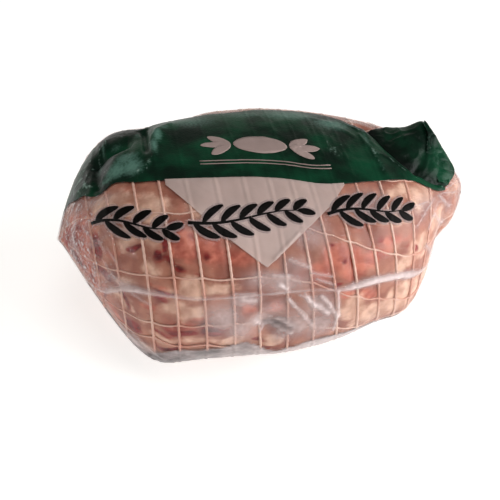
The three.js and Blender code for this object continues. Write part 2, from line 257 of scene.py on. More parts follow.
def crowded(count, strength):
    """Shares from 0 to just below 1 that crowd at both: t - strength * sin(2 pi t) / (2 pi)."""
    t = np.arange(count) / count
    return t - strength * np.sin(2 * np.pi * t) / (2 * np.pi)


def places_along(between, left, right):
    """Places along X at the front: crowded at each hoop, and towards the tips past the outer ones."""
    front = np.array([f for f, lean in HOOPS], float)
    inner = (front[:-1, None] + np.diff(front)[:, None] * crowded(between, HOOP_CROWDING)).ravel()
    to_left = (front[0] + HALF_LENGTH) * (np.arange(1, left) / left) ** LEFT_CROWDING
    to_right = (HALF_LENGTH - front[-1]) * (np.arange(right, 0, -1) / right) ** RIGHT_CROWDING
    return np.concatenate([to_left - HALF_LENGTH, inner, HALF_LENGTH - to_right])


def leaning(front, angle):
    """Where a column that stands at front lies at each angle: it leans as the hoops near it do."""
    at = [-HALF_LENGTH] + [f for f, lean in HOOPS] + [HALF_LENGTH]
    leans = [0] + [lean for f, lean in HOOPS] + [0]
    return front + np.interp(front, at, leans) * np.sin(angle * DEGREE)


def normals_of(points, joined=True):
    """Unit normals of a grid of points: along the columns, crossed with round the rows."""
    along = np.gradient(points, axis=0)
    if joined:
        round_ = np.roll(points, -1, axis=1) - np.roll(points, 1, axis=1)
    else:
        round_ = np.gradient(points, axis=1)
    normal = np.cross(along, round_)
    return normal / np.maximum(np.linalg.norm(normal, axis=-1, keepdims=True), 1e-9)


def grid_faces(columns, rows, join_columns=False, join_rows=False):
    """The four-sided faces of a grid of points that is numbered column by column."""
    c = np.arange(columns if join_columns else columns - 1)[:, None]
    r = np.arange(rows if join_rows else rows - 1)[None, :]
    next_c, next_r = (c + 1) % columns, (r + 1) % rows
    corners = [c * rows + r, next_c * rows + r, next_c * rows + next_r, c * rows + next_r]
    return np.stack(np.broadcast_arrays(*corners), axis=-1).reshape(-1, 4).tolist()


def skin_mesh(rings):
    """A closed skin: the grid of rings, with a fan of faces to one more point at each tip."""
    columns, rows = rings.shape[:2]
    tips = [rings[0].mean(axis=0), rings[-1].mean(axis=0)]
    left, right, last = columns * rows, columns * rows + 1, (columns - 1) * rows
    fans = [[left, r, (r + 1) % rows] for r in range(rows)]
    fans += [[right, last + (r + 1) % rows, last + r] for r in range(rows)]
    points = np.concatenate([rings.reshape(-1, 3), tips])
    return points, grid_faces(columns, rows, join_rows=True) + fans


def with_tips(values):
    """The values of a skin's rings, with one more for each tip."""
    return np.concatenate([values.ravel(), [values[0].mean(), values[-1].mean()]])


def linear(colour):
    """An sRGB hex colour as linear red, green, blue and alpha."""
    share = np.array([int(colour[i : i + 2], 16) for i in (1, 3, 5)]) / 255
    return (*np.where(share <= 0.04045, share / 12.92, ((share + 0.055) / 1.055) ** 2.4), 1.0)


def node(tree, kind, sockets=None, **settings):
    """Adds a shader node, with its settings, and each socket filled by a value or by a link."""
    made = tree.nodes.new("ShaderNode" + kind)
    for name, value in settings.items():
        setattr(made, name, value)
    for name, value in (sockets or {}).items():
        if isinstance(value, bpy.types.NodeSocket):
            tree.links.new(value, made.inputs[name])
        else:
            made.inputs[name].default_value = value
    return made


def blank_material(name):
    """A material with an empty node tree, and that tree."""
    material = bpy.data.materials.new(name)
    material.use_nodes = True
    material.node_tree.nodes.clear()
    return material, material.node_tree


def per_metre(size):
    """A texture's scale from the size of its pattern in millimetres."""
    return 1 / (size * MM)


def piece_of(name, points, faces, material, slot, **attributes):
    """An object from places in millimetres and faces, shaded smooth, that rides with the pack."""
    mesh = bpy.data.meshes.new(name)
    mesh.from_pydata((np.asarray(points).reshape(-1, 3) * MM).tolist(), [], faces)
    for label, values in attributes.items():
        layer = mesh.attributes.new(label, "FLOAT", "POINT")
        layer.data.foreach_set("value", np.ravel(values).astype(np.float32))
    mesh.shade_smooth()
    mesh.materials.append(material)
    piece = bpy.data.objects.new(name, mesh)
    bpy.context.scene.collection.objects.link(piece)
    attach(piece, "root")
    return piece


# Raw lamb is matt flesh under a wet film of juice: soft, slightly see-through, with a moist shine.
def wet_raw_lamb():
    material, tree = blank_material("wet raw lamb")
    place = node(tree, "TexCoord").outputs["Object"]
    grain = node(tree, "Mapping", {"Vector": place, "Scale": (0.3, 1, 1)}).outputs["Vector"]
    fibres = node(tree, "TexNoise", {"Vector": grain, "Scale": per_metre(2.6), "Detail": 4.0})
    clouds = node(tree, "TexNoise", {"Vector": place, "Scale": per_metre(15), "Detail": 4.0})
    mottles = node(tree, "TexNoise", {"Vector": place, "Scale": per_metre(7), "Detail": 5.0})
    fibre, cloud, mottle = (made.outputs["Fac"] for made in (fibres, clouds, mottles))

    # Flesh, lean, fat and blood are each mixed from two colours, by a noise between two of its levels.
    tints = []
    for noise, low, high, dark, pale in [
        (cloud, 0.36, 0.64, "#9c604f", "#bd856f"), (mottle, 0.3, 0.7, "#a85142", "#cf826c"),
        (mottle, 0.3, 0.7, "#cda08a", "#e8c6b0"), (fibre, 0.35, 0.65, "#5a0d12", "#962826"),
    ]:
        level = {"Value": noise, "From Min": low, "From Max": high}
        share = node(tree, "MapRange", level, interpolation_type="SMOOTHSTEP").outputs["Result"]
        mixed = {0: share, 6: linear(dark), 7: linear(pale)}
        tints.append(node(tree, "Mix", mixed, data_type="RGBA").outputs[2])

    # Lean, fat and blood lie over the flesh in turn. Mottles and fibres fray each one by an amount, and
    # it starts to show at one level and is full at the next.
    colour = tints[0]
    for label, over, mottled, fibrous, start, full in [
        ("lean", tints[1], 0.7, 0.35, 0.8, 1.3), ("fat", tints[2], 0.7, 0.35, 0.8, 1.25),
        ("blood", tints[3], 0.6, 0.6, 0.85, 1.35),
    ]:
        amount = node(tree, "Attribute", attribute_name=label).outputs["Fac"]
        uneven = {0: mottle, 1: mottled, 2: amount}
        ragged = {0: fibre, 1: fibrous, 2: node(tree, "Math", uneven, operation="MULTIPLY_ADD").outputs[0]}
        frayed = node(tree, "Math", ragged, operation="MULTIPLY_ADD").outputs[0]
        level = {"Value": frayed, "From Min": start, "From Max": full}
        shown = node(tree, "MapRange", level, interpolation_type="SMOOTHSTEP").outputs["Result"]
        colour = node(tree, "Mix", {0: shown, 6: colour, 7: over}, data_type="RGBA").outputs[2]
    level = {"Value": mottle, "From Min": 0.3, "From Max": 0.7, "To Min": 0.9, "To Max": 1.06}
    brightness = node(tree, "MapRange", level, interpolation_type="SMOOTHSTEP").outputs["Result"]
    colour = node(tree, "HueSaturation", {"Color": colour, "Value": brightness}).outputs[0]
    height = node(tree, "Math", {0: fibre, 1: cloud}, operation="ADD").outputs[0]
    bumps = {"Height": height, "Strength": 0.35, "Distance": 0.8 * MM}
    shader = node(tree, "BsdfPrincipled", {
        "Base Color": colour, "Roughness": 0.5, "IOR": 1.4, "Subsurface Weight": 0.1,
        "Subsurface Radius": (1.0, 0.35, 0.2), "Subsurface Scale": 1.5 * MM,
        "Coat Weight": 0.15, "Coat Roughness": 0.2,
        "Normal": node(tree, "Bump", bumps).outputs["Normal"],
    })
    node(tree, "OutputMaterial", {"Surface": shader.outputs[0]})
    return material


# The crumpled film pulls the meat in along valleys at the left end and behind the tab's root: (x, angle)
# at both ends, half width and rise. The film's own raised folds follow with the bag.
VALLEYS = [
    ((-73, 100), (-87, 101), 5, -3.5), ((-87, 101), (-92, 78), 5, -3.5),
    ((-62, 107), (-62.8, 92), 2.2, -3.4), ((-87, 100), (-79.8, 98.5), 1.7, -2.6),
    ((-79.8, 98.5), (-72, 97.5), 1.7, -2.2), ((-90, 99), (-90.2, 83), 1.8, -2.6),
    ((-110, 100), (-108.5, 62), 3.5, -3), ((60, 108), (68, 92), 2.5, -3),
    ((68, 92), (80, 72), 2.5, -3.5), ((80, 72), (92, 58), 2.5, -2.5),
]


def fold_rise(x, angle, folds, sharpness=2.0):
    """The folds: each is its rise times e to the minus (distance from its line over half width), to a
    power that is 2 for a soft bell and less for a sharp crest."""
    total = 0.0
    for start, end, half, rise in folds:
        along = np.array([end[0] - start[0], (end[1] - start[1]) * DEGREE * MEAN_RADIUS])
        here_x = x - start[0]
        here_round = turn_between(angle, start[1]) * DEGREE * MEAN_RADIUS
        share = np.clip((here_x * along[0] + here_round * along[1]) / (along @ along), 0, 1)
        away = np.hypot(here_x - share * along[0], here_round - share * along[1])
        total = total + rise * np.exp(-((away / half) ** sharpness))
    return total


def body_rise(x, angle):
    """What both the meat and the film follow: the lumps and the valleys."""
    return lump_rise(x, angle) + fold_rise(x, angle, VALLEYS)


def make_meat():
    front = places_along(*MEAT_COLUMNS)[:, None]
    angle = np.arange(MEAT_ROWS)[None, :] * 360 / MEAT_ROWS
    x = leaning(front, angle)
    angle = np.broadcast_to(angle, x.shape)
    bare = on_roll(x, angle, 0.0)
    press = NET_PRESS * hoop_sum(x, angle, NET_PRESS_HALF)
    press = press + LONG_PRESS * long_sum(x, angle, LONG_PRESS_HALF)
    away = SEAM_SHARPNESS * np.abs(ripples(bare, SEAM_LENGTH, seed=4))
    seams = SEAM_DEPTH * np.clip(1 - away, 0, 1)
    skin = on_roll(x, angle, body_rise(x, angle) - press - seams, MEAT_FLOOR)
    inside = skin - MEAT_BELOW_FILM * normals_of(skin)
    inside[..., 2] = np.maximum(inside[..., 2], MEAT_FLOOR)
    points, faces = skin_mesh(inside)
    wander_x = x + MARK_WANDER * ripples(bare, WANDER_LENGTH, seed=11)
    wander_angle = angle + MARK_WANDER * ripples(bare, WANDER_LENGTH, seed=12)
    painted = {
        label: with_tips(marks(wander_x, wander_angle, patches))
        for label, patches in {"lean": LEAN, "fat": FAT, "blood": BLOOD}.items()
    }
    piece_of("meat", points, faces, wet_raw_lamb(), "meat", **painted)


make_meat()

# ------------------------------------------------------------------------------ the roasting net
# Elastic roasting net, knitted as a tube: two-ply twisted strings round the roll, about 13 mm apart,
# tied to thinner ones that run along it. The white cotton has taken up pink juice.

STRING_RADIUS = 0.7
LONG_RADIUS = 0.46
LONG_START, LONG_END = -110, 107
STRING_SINK = 0.8  # from the tight film's surface down to the middle of a string
STRING_FLOOR = STRING_SINK + 0.05  # the lowest that the middle of a string lies
STRING_UNEVEN, UNEVEN_LENGTH = 0.06, 16  # how much its thickness varies, and over what length
PLY_DEPTH = 0.13  # how much the two plies stand out, as a share of the radius
PLY_PITCH = 7
HOOP_STEPS, LONG_STEPS, STRING_SIDES = 480, 250, 10
KNOT_SWELL, KNOT_HALF = 0.45, 1.3


def twisted_strings(paths, outward, radius, joined):
    """Strings as tubes: each ring is turned to the path and grown by the radius times
    1 + depth * cos(2 * (round - turns along)), which winds two plies round each other."""
    if joined:
        tangent = np.roll(paths, -1, axis=1) - np.roll(paths, 1, axis=1)
    else:
        tangent = np.gradient(paths, axis=1)
    tangent /= np.linalg.norm(tangent, axis=-1, keepdims=True)
    outward = outward - (outward * tangent).sum(-1, keepdims=True) * tangent
    outward /= np.linalg.norm(outward, axis=-1, keepdims=True)
    beside = np.cross(outward, tangent)
    steps = np.linalg.norm(np.diff(paths, axis=1, prepend=paths[:, :1]), axis=-1)
    turns = 2 * np.pi * np.cumsum(steps, axis=1) / PLY_PITCH
    round_ = np.arange(STRING_SIDES) * 2 * np.pi / STRING_SIDES
    grown = radius[..., None] * (1 + PLY_DEPTH * np.cos(2 * (round_ - turns[..., None])))
    ring = np.cos(round_)[:, None] * outward[:, :, None] + np.sin(round_)[:, None] * beside[:, :, None]
    points = paths[:, :, None] + grown[..., None] * ring
    count, steps_along = paths.shape[:2]
    faces = []
    for i in range(count):
        first = i * steps_along * STRING_SIDES
        for face in grid_faces(steps_along, STRING_SIDES, join_columns=joined, join_rows=True):
            faces.append([first + corner for corner in face])
        if not joined:
            last = first + (steps_along - 1) * STRING_SIDES
            faces.append([first + STRING_SIDES - 1 - r for r in range(STRING_SIDES)])
            faces.append([last + r for r in range(STRING_SIDES)])
    return points.reshape(-1, 3), faces


def over_relief(x, angle, rise_of, above, nearby):
    """Places a distance above a relief on the roll, and its outward normals, each taken from the places
    nearby along X and round the roll."""
    here = on_roll(x, angle, rise_of(x, angle))
    along = on_roll(x + nearby, angle, rise_of(x + nearby, angle)) - here
    round_ = on_roll(x, angle + nearby, rise_of(x, angle + nearby)) - here
    outward = np.cross(along, round_)
    outward /= np.maximum(np.linalg.norm(outward, axis=-1, keepdims=True), 1e-9)
    return here + above * outward, outward


def string_places(x, angle):
    """Where strings lie under the tight film, and which way is outward there."""
    sunk, outward = over_relief(x, angle, body_rise, -STRING_SINK, nearby=0.2)
    sunk[..., 2] = np.maximum(sunk[..., 2], STRING_FLOOR)
    return sunk, outward


# Cotton string soaked with juice: matt, fibrous, cream with pink and brown stains.
def stained_cotton():
    material, tree = blank_material("stained cotton string")
    place = node(tree, "TexCoord").outputs["Object"]
    stain = node(tree, "TexNoise", {"Vector": place, "Scale": per_metre(22), "Detail": 4.0}).outputs["Fac"]
    fibre = node(tree, "TexNoise", {"Vector": place, "Scale": per_metre(0.6), "Detail": 2.0}).outputs["Fac"]
    level = {"Value": stain, "From Min": 0.38, "From Max": 0.66}
    stained = node(tree, "MapRange", level, interpolation_type="SMOOTHSTEP").outputs["Result"]
    tints = {0: stained, 6: linear("#e6c6b5"), 7: linear("#d29c89")}
    colour = node(tree, "Mix", tints, data_type="RGBA").outputs[2]
    shader = node(tree, "BsdfPrincipled", {
        "Base Color": colour, "Roughness": 0.6, "Coat Weight": 0.2, "Coat Roughness": 0.25,
        "Normal": node(tree, "Bump", {"Height": fibre, "Strength": 0.4, "Distance": 0.2 * MM}).outputs[0],
    })
    node(tree, "OutputMaterial", {"Surface": shader.outputs[0]})
    return material


def make_net():
    cotton = stained_cotton()
    angle = np.arange(HOOP_STEPS)[None, :] * 360 / HOOP_STEPS
    fronts, leans = np.array(HOOPS, float).T[..., None]
    x = fronts + leans * np.sin(angle * DEGREE)
    paths, outward = string_places(x, np.broadcast_to(angle, x.shape))
    radius = STRING_RADIUS * (1 + STRING_UNEVEN * ripples(paths, UNEVEN_LENGTH, seed=21))
    points, faces = twisted_strings(paths, outward, radius, joined=True)
    piece_of("net_hoops", points, faces, cotton, "net")
    along = np.linspace(LONG_START, LONG_END, LONG_STEPS)
    angle = np.stack([string_angle(along, line) for line in LONG_STRINGS])
    x = np.broadcast_to(along, angle.shape)
    paths, outward = string_places(x, angle)
    radius = LONG_RADIUS * (1 + KNOT_SWELL * hoop_sum(x, angle, KNOT_HALF))
    points, faces = twisted_strings(paths, outward, radius, joined=False)
    piece_of("net_long_strings", points, faces, cotton, "net")


make_net()

# ------------------------------------------------------------------------------ the shrink bag
# A seamless tube of clear film about 0.05 mm thick, welded shut at the ends and shrunk on in hot
# water. Its two flat edges stay as creases along the front and the back, and spare film crumples.

# The front crease and the two edges of the printed band, as (x, angle) points.
FRONT_CREASE = [
    (-115.5, -38), (-108, -33), (-102, -22), (-95.5, -6), (-88, 6), (-81, 11.5), (-71.5, 13.5),
    (-48, 12.8), (-12.7, 12.8), (10.9, 12), (22.5, 9.8), (46, 7.5), (69, -1.5), (79, -7.5), (95, -16),
    (115.5, -20),
]
BAND_FRONT = [
    (-115.5, 118), (-110.5, 114), (-107.5, 103), (-105, 93), (-99, 85.5), (-94.5, 79.5), (-89.6, 78),
    (-83, 80), (-71, 77.2), (-63.4, 76.5), (-35.7, 75), (-11.8, 73.5), (7.3, 70.5), (22.5, 67.5),
    (55.6, 67.5), (77, 64.5), (85, 57), (91, 50.5), (115.5, 46),
]
BAND_BACK = [
    (-115.5, 128), (-100, 128), (-90, 124), (-80, 122), (-71, 119), (-67, 114), (-63, 111.5),
    (-58, 113), (-50, 117), (-40, 120), (-28, 119.5), (-10, 119), (2, 120.5), (25, 121), (38, 120),
    (47, 115), (55, 107), (62, 102), (67, 91), (72, 82), (77, 74.5), (81, 69), (86, 63), (91, 58),
    (97, 53), (115.5, 48),
]
BACK_CREASE = [(-115.5, 192), (-95, 178), (-80, 170), (60, 168), (80, 176), (115.5, 190)]
LOWER_FRONT_DROP, BACK_LOWER_DROP = 62, 60  # degrees from a crease to the next guide of rows below it
ROWS_BETWEEN = (70, 44, 48, 34, 24, 58)
ROW_CROWDING = 0.5
FILM_COLUMNS = (20, 27, 44)

# How high and how wide the front crease stands, as (x, millimetres) points, and how milky it is.
CREASE_HEIGHT = [
    (-115, 0.2), (-104, 1), (-90, 1.7), (-72, 1.5), (-50, 0.8), (0, 0.5), (20, 0.9), (30, 1.6),
    (65, 1.6), (78, 0.8), (95, 0.4), (115, 0),
]
CREASE_HALF = [(-115, 1), (-95, 2), (-75, 1.8), (-55, 1), (0, 0.7), (20, 1), (32, 1.8), (62, 1.9), (90, 1)]
CREASE_MILK = [
    (-115, 0.2), (-95, 0.5), (-75, 0.5), (-50, 0.35), (0, 0.3), (22, 0.4), (32, 0.9), (62, 0.9),
    (90, 0.3),
]
BACK_CREASE_HALF, BACK_CREASE_HEIGHT = 1, 1.1

# Raised folds of spare film: (x, angle) at both ends, half width and rise.
SOFT_FOLDS = [
    ((-85, 116), (-85, 102), 4, 2.2), ((-88, 86.5), (-80, 90), 5, 2.6), ((-80, 90), (-70, 90), 6, 2.4),
    ((-61, 91), (-55, 101), 5, 2.4), ((-55, 101), (-48, 108), 5, 1.8), ((-106, 100), (-99, 76), 5, 1.6),
    ((60, 104), (62, 66), 4, 1.5), ((-96, 250), (-70, 205), 5, 2.5), ((96, 160), (72, 140), 5, 2.5),
    ((-103, 112), (-102, 93), 5, 3.2),
]
# The crisp folds are drawn milky as well, partly as a painted highlight along them.
CRISP_FOLDS = [
    ((-3, 9), (0, 5), 0.8, 1.3), ((0, 5), (6, -1), 0.7, 1.1), ((6, -1), (10, -6), 0.6, 0.9),
    ((3, 10.5), (7, 8), 0.7, 1), ((7, 8), (10, 4), 0.8, 1.2), ((10, 4), (18.5, -1), 0.9, 1.3),
    ((14, 8), (18.5, 2.5), 0.8, 1.2), ((18.5, 2.5), (23, -3), 0.9, 1.2), ((23, -3), (22, -13), 0.8, 1),
    ((23, 9), (23.5, 1), 0.8, 1.1), ((23.5, 1), (24.5, -4), 0.7, 0.9), ((5.5, 11), (7.5, 6), 0.6, 0.8),
    ((-17, -7), (-13, -3.5), 0.7, 0.9), ((-13, -3.5), (-6, -7), 0.7, 0.9), ((-20, -1), (-16, -4), 0.8, 0.9),
    ((-6, -7), (-1, -9), 0.7, 0.9), ((-12, -1), (-5, -2.5), 0.7, 0.8), ((-5, -2.5), (0, -5.5), 0.7, 0.8),
    ((-74, 82.5), (-69.4, 82.8), 0.8, 0.6), ((-69.4, 82.8), (-63, 86.5), 0.8, 0.7),
    ((-63, 86.5), (-58.5, 89.5), 0.8, 0.7), ((-69.3, 79.7), (-65, 83), 0.7, 0.6),
    ((-65, 83), (-63, 85.3), 0.7, 0.6), ((-87, 113), (-87.2, 100.5), 0.9, 0.7),
    ((-83.2, 113), (-83.5, 100.5), 0.9, 0.7), ((-89, 85.5), (-85.3, 91), 0.9, 0.6),
    ((-80.5, 92.5), (-75, 93), 0.9, 0.5), ((-75, 93), (-68, 98), 0.9, 0.6),
    ((-62.6, 90), (-61, 95), 0.8, 0.5), ((-61, 95), (-52, 106), 0.8, 0.5),
    ((-101, 102), (-96.5, 91), 0.9, 0.6), ((-96.5, 91), (-93, 86), 0.9, 0.6),
    ((-100, 89), (-94, 99), 0.9, 0.6), ((-96, 80), (-92.5, 95), 0.9, 0.6),
    ((-99, 112), (-94, 120), 0.9, 0.6), ((-92, 108), (-90, 122), 0.9, 0.6),
    ((-104, 98), (-98, 95), 0.8, 0.5), ((-97, 106), (-92, 101), 0.9, 0.5),
    ((-78, 112), (-72, 106), 0.9, 0.5), ((-76, 87), (-70, 90), 0.8, 0.5),
    ((55, 97), (58.5, 87), 0.8, 0.6), ((58.5, 87), (60.5, 71), 0.9, 0.7),
    ((58.5, 87), (67, 82.5), 0.7, 0.7), ((67, 82.5), (73, 74.5), 0.7, 0.8),
    ((73, 74.5), (79, 67), 0.7, 0.8), ((37.4, 91.5), (45, 89), 0.7, 0.8),
    ((33, 97.5), (35, 84), 1.8, 0.6), ((50, 108), (60, 98), 0.9, 0.5),
    ((-98, 66), (-105, 58), 0.6, 0.6), ((-105, 58), (-107.5, 38), 0.6, 0.6),
    ((-107.5, 38), (-105, 10), 0.6, 0.6), ((-105, 10), (-100, -3), 0.6, 0.6),
    ((-101, 60), (-97, 57), 0.5, 0.9),
    ((-104, 47), (-99, 45), 0.5, 0.9), ((-102, 38), (-99, 30), 0.5, 0.9), ((-103, 26), (-99, 18), 0.5, 0.9),
    ((-99, 46), (-96, 36), 0.5, 0.8), ((-94, 40), (-91, 30), 0.5, 0.7), ((-92, 22), (-88, 14), 0.5, 0.7),
    ((-90, 34), (-86, 26), 0.5, 0.7), ((-110, 0), (-98, -16), 0.7, 0.6), ((-102, 14), (-95, 9), 0.6, 0.7),
    ((-88, -24), (-74, -34), 0.9, 0.9), ((-82, -20), (-66, -30), 0.9, 0.8),
    ((-84, -31), (-72, -38), 0.9, 0.9),
    ((93, 52), (100, 62), 1, 0.8), ((95, 50), (104, 52), 1, 0.7), ((94, 47), (104, 38), 1, 0.7),
    ((91, 46), (98, 26), 1.2, 0.8), ((87, 45), (72, 30), 0.8, 0.5), ((90, 40), (80, 22), 0.8, 0.6),
    ((86, 30), (96, 2), 1.2, 0.9), ((78, 10), (90, -16), 1.2, 0.9), ((70, 46), (82, 45), 0.7, 0.5),
    ((-1, 30), (8, 25), 0.9, 0.8), ((-8.5, 31.5), (5, 43), 0.7, 0.7), ((-10, 22.5), (-2, 21.5), 0.8, 0.6),
    ((-7, 17), (-4, 14.5), 0.9, 1), ((9, 22), (20, 18), 0.8, 0.7), ((12, 18), (21, 13), 0.8, 0.7),
    ((-26, 11), (-20, 10), 1.2, 0.6), ((-30, 14.5), (-20, 14), 0.8, 0.5), ((-80, 9), (-72, 6), 0.7, 0.6),
]
SOFT, CRISP = 1.1, 1.3  # how sharp the crests of these folds are: see fold_rise
PLEATS, PLEAT_DEPTH, PLEATS_START = 9, 1.5, 0.82
STRING_CREST, STRING_CREST_HALF = 0.46, 1.1
LONG_CREST, LONG_CREST_HALF = 0.3, 1.0
PRESS_SHARE = 0.85  # how far the film follows the groove beside a string
UNDER_PRINT = 0.5  # how much of the strings shows through the stiffer printed film
PRINT_EDGE = (-1, 2)  # from where to where the film stiffens past the band's edges, in millimetres
CREASE_SHARPNESS = 1.6

# Crumpled film: the lengths of its wide and its fine wrinkles, how high the fine ones are beside the
# wide ones, and how high all of them are where it is fully crumpled.
WIDE_WRINKLE, FINE_WRINKLE, FINE_SHARE = 26, 11, 0.5
CRUMPLE = 1.3

# How crumpled it is at the left end, at the right end (from x, to x and amount), in patches (as in
# MILKY), along the crown (angle, half width and amount), more in one part of that, and anywhere else.
CRUMPLED_LEFT, CRUMPLED_RIGHT = (-76, -106, 1), (78, 106, 0.6)
CRUMPLED_PATCHES = [(-84, 102, 26, 24, 0.5), (-80, -32, 20, 16, 0.4)]
CRUMPLED_CROWN = (92, 22, 0.12)
CRUMPLED_MORE = (42, 34, 0.34)
LEAST_CRUMPLED = 0.04

# Where the film stands off the meat or lies double, so that it looks milky, and the line below which
# it hangs free under the roll, as (x, angle) points.
MILKY = [
    (-36, 2, 11, 8, 0.5), (-25, 10, 9, 4, 0.5), (-28, -4, 9, 6, 0.5), (-18, -1, 8, 4, 0.55),
    (-4, 18, 13, 6, 0.5), (-14, 21, 10, 5, 0.45), (2, 26, 8, 6, 0.3), (-10, 4, 9, 6, 0.35),
    (0, -5, 12, 7, 0.55), (14, -7, 9, 8, 0.5), (12, 4, 8, 6, 0.45), (-6, -10, 6, 4, 0.4),
    (-78, -30, 9, 6, 0.6), (-84, 13, 9, 3, 0.35), (44, 56, 12, 7, 0.3), (-92, 72, 8, 4, 0.3),
    (80, 44, 8, 8, 0.25), (12, 42, 9, 8, 0.35), (-20, 185, 30, 10, 0.3), (50, 205, 20, 10, 0.3),
]
SKIRT_EDGE = [
    (-115, -60), (-80, -38), (-72, -28), (-66, -22.5), (-60, -19.5), (-46, -18), (-37, -16.5), (-30, -14),
    (-25, -12.5), (-20, -14.5), (-14, -18.5), (-8, -20), (-2, -19), (10, -17.5), (20, -19), (30, -22),
    (45, -27), (60, -34), (80, -55), (115, -70),
]
SKIRT_START, SKIRT_END = (-0.5, 1.5), (25, 60)  # where it begins and ends, in millimetres below that line
SKIRT_MILK = 0.86
SKIRT_PALER = (-55, 0, 0.7)  # from x, to x, and the share of its painted shade that it loses there
# Hollows in the film, as in MILKY, where painted shade greys it.
PAINTED_HOLLOW_SHADE = [
    (-13, -3.5, 4, 1.8, 0.8), (-8, -4.5, 5, 2.2, 0.9), (-3, -6.5, 4, 2, 0.8), (-80, -33, 7, 2.5, 0.8),
]
CREST_WIDTH = 1.2  # how much wider the milky crest of the front crease is than the crease
# How milky the crisp folds and the crumpled wrinkles are, partly as a painted highlight, and the most milk
# anywhere.
FOLD_MILK_AND_HIGHLIGHT, WRINKLE_MILK_AND_HIGHLIGHT, MOST_MILK = 0.6, 0.3, 0.92
LEAST_LOOSE, LOOSE_BY_CRUMPLE = 0.3, 2.4


def crumpled(x, angle):
    """How crumpled the film is, from 0 to 1: the most of both ends, the patches and the crown."""
    left_start, left_full, left_amount = CRUMPLED_LEFT
    right_start, right_full, right_amount = CRUMPLED_RIGHT
    crown, crown_half, crown_amount = CRUMPLED_CROWN
    more_at, more_half, more = CRUMPLED_MORE
    return np.maximum.reduce([
        left_amount * smoothstep(-x, -left_start, -left_full),
        right_amount * smoothstep(x, right_start, right_full),
        marks(x, angle, CRUMPLED_PATCHES),
        (crown_amount + more * bump(x - more_at, more_half)) * bump(turn_between(angle, crown), crown_half),
        np.full_like(x, LEAST_CRUMPLED),
    ])


def creases(places, length, seed):
    """A web of sharp ridges, 0 to 1: (1 - sharpness * the size of the ripples) squared, where the
    bracket is above 0."""
    return np.clip(1 - CREASE_SHARPNESS * np.abs(ripples(places, length, seed)), 0, 1) ** 2


def away_from(x, angle, line):
    """How far round the roll a place lies above a line, in millimetres."""
    return turn_between(angle, smooth_line(x, line)) * DEGREE * MEAN_RADIUS


def film_rise(x, angle):
    """The bag's relief: the body, the crests over the strings, the two edge creases, the folds, the
    pleats at both tips and the crumpling, which only lifts the film off what it covers."""
    printed = smoothstep(away_from(x, angle, BAND_FRONT), *PRINT_EDGE)
    printed = printed * smoothstep(-away_from(x, angle, BAND_BACK), *PRINT_EDGE)
    strings = STRING_CREST * hoop_sum(x, angle, STRING_CREST_HALF)
    strings = strings - PRESS_SHARE * NET_PRESS * hoop_sum(x, angle, NET_PRESS_HALF)
    strings = strings + LONG_CREST * long_sum(x, angle, LONG_CREST_HALF)
    strings = strings - PRESS_SHARE * LONG_PRESS * long_sum(x, angle, LONG_PRESS_HALF)
    strings = strings * (1 - (1 - UNDER_PRINT) * printed)
    front = bump(away_from(x, angle, FRONT_CREASE), smooth_line(x, CREASE_HALF))
    back = bump(away_from(x, angle, BACK_CREASE), BACK_CREASE_HALF)
    edges = smooth_line(x, CREASE_HEIGHT) * front + BACK_CREASE_HEIGHT * back
    folds = fold_rise(x, angle, SOFT_FOLDS, SOFT) + fold_rise(x, angle, CRISP_FOLDS, CRISP)
    gathered = smoothstep(np.abs(x) / HALF_LENGTH, PLEATS_START, 1)
    pleat = 1 - CREASE_SHARPNESS * np.abs(np.sin(PLEATS / 2 * angle * DEGREE))
    pleats = PLEAT_DEPTH * gathered * pleat
    bare = on_roll(x, angle, 0.0)
    wrinkles = creases(bare, WIDE_WRINKLE, seed=31) + FINE_SHARE * creases(bare, FINE_WRINKLE, seed=32)
    crumples = CRUMPLE * crumpled(x, angle) * wrinkles
    return body_rise(x, angle) + strings + edges + folds + pleats + crumples


def film_grid():
    """The bag's places along and round. Rows lie between guides that follow the front crease, the two
    edges of the printed band and the back crease, and crowd towards each of them."""
    front = places_along(*FILM_COLUMNS)[:, None]

    def guide(line, turn=0.0):
        angle = smooth_line(front, line) + turn
        for _ in range(3):  # a column leans by its angle, so the two are settled in three rounds
            angle = smooth_line(leaning(front, angle), line) + turn
        return angle

    guides = [
        guide(FRONT_CREASE), guide(BAND_FRONT), guide(BAND_BACK), guide(BACK_CREASE),
        guide(BACK_CREASE, BACK_LOWER_DROP), guide(FRONT_CREASE, 360 - LOWER_FRONT_DROP),
        guide(FRONT_CREASE, 360),
    ]
    angle = np.concatenate([
        start + (end - start) * crowded(count, ROW_CROWDING)
        for start, end, count in zip(guides[:-1], guides[1:], ROWS_BETWEEN)
    ], axis=1)
    return leaning(front, angle), angle


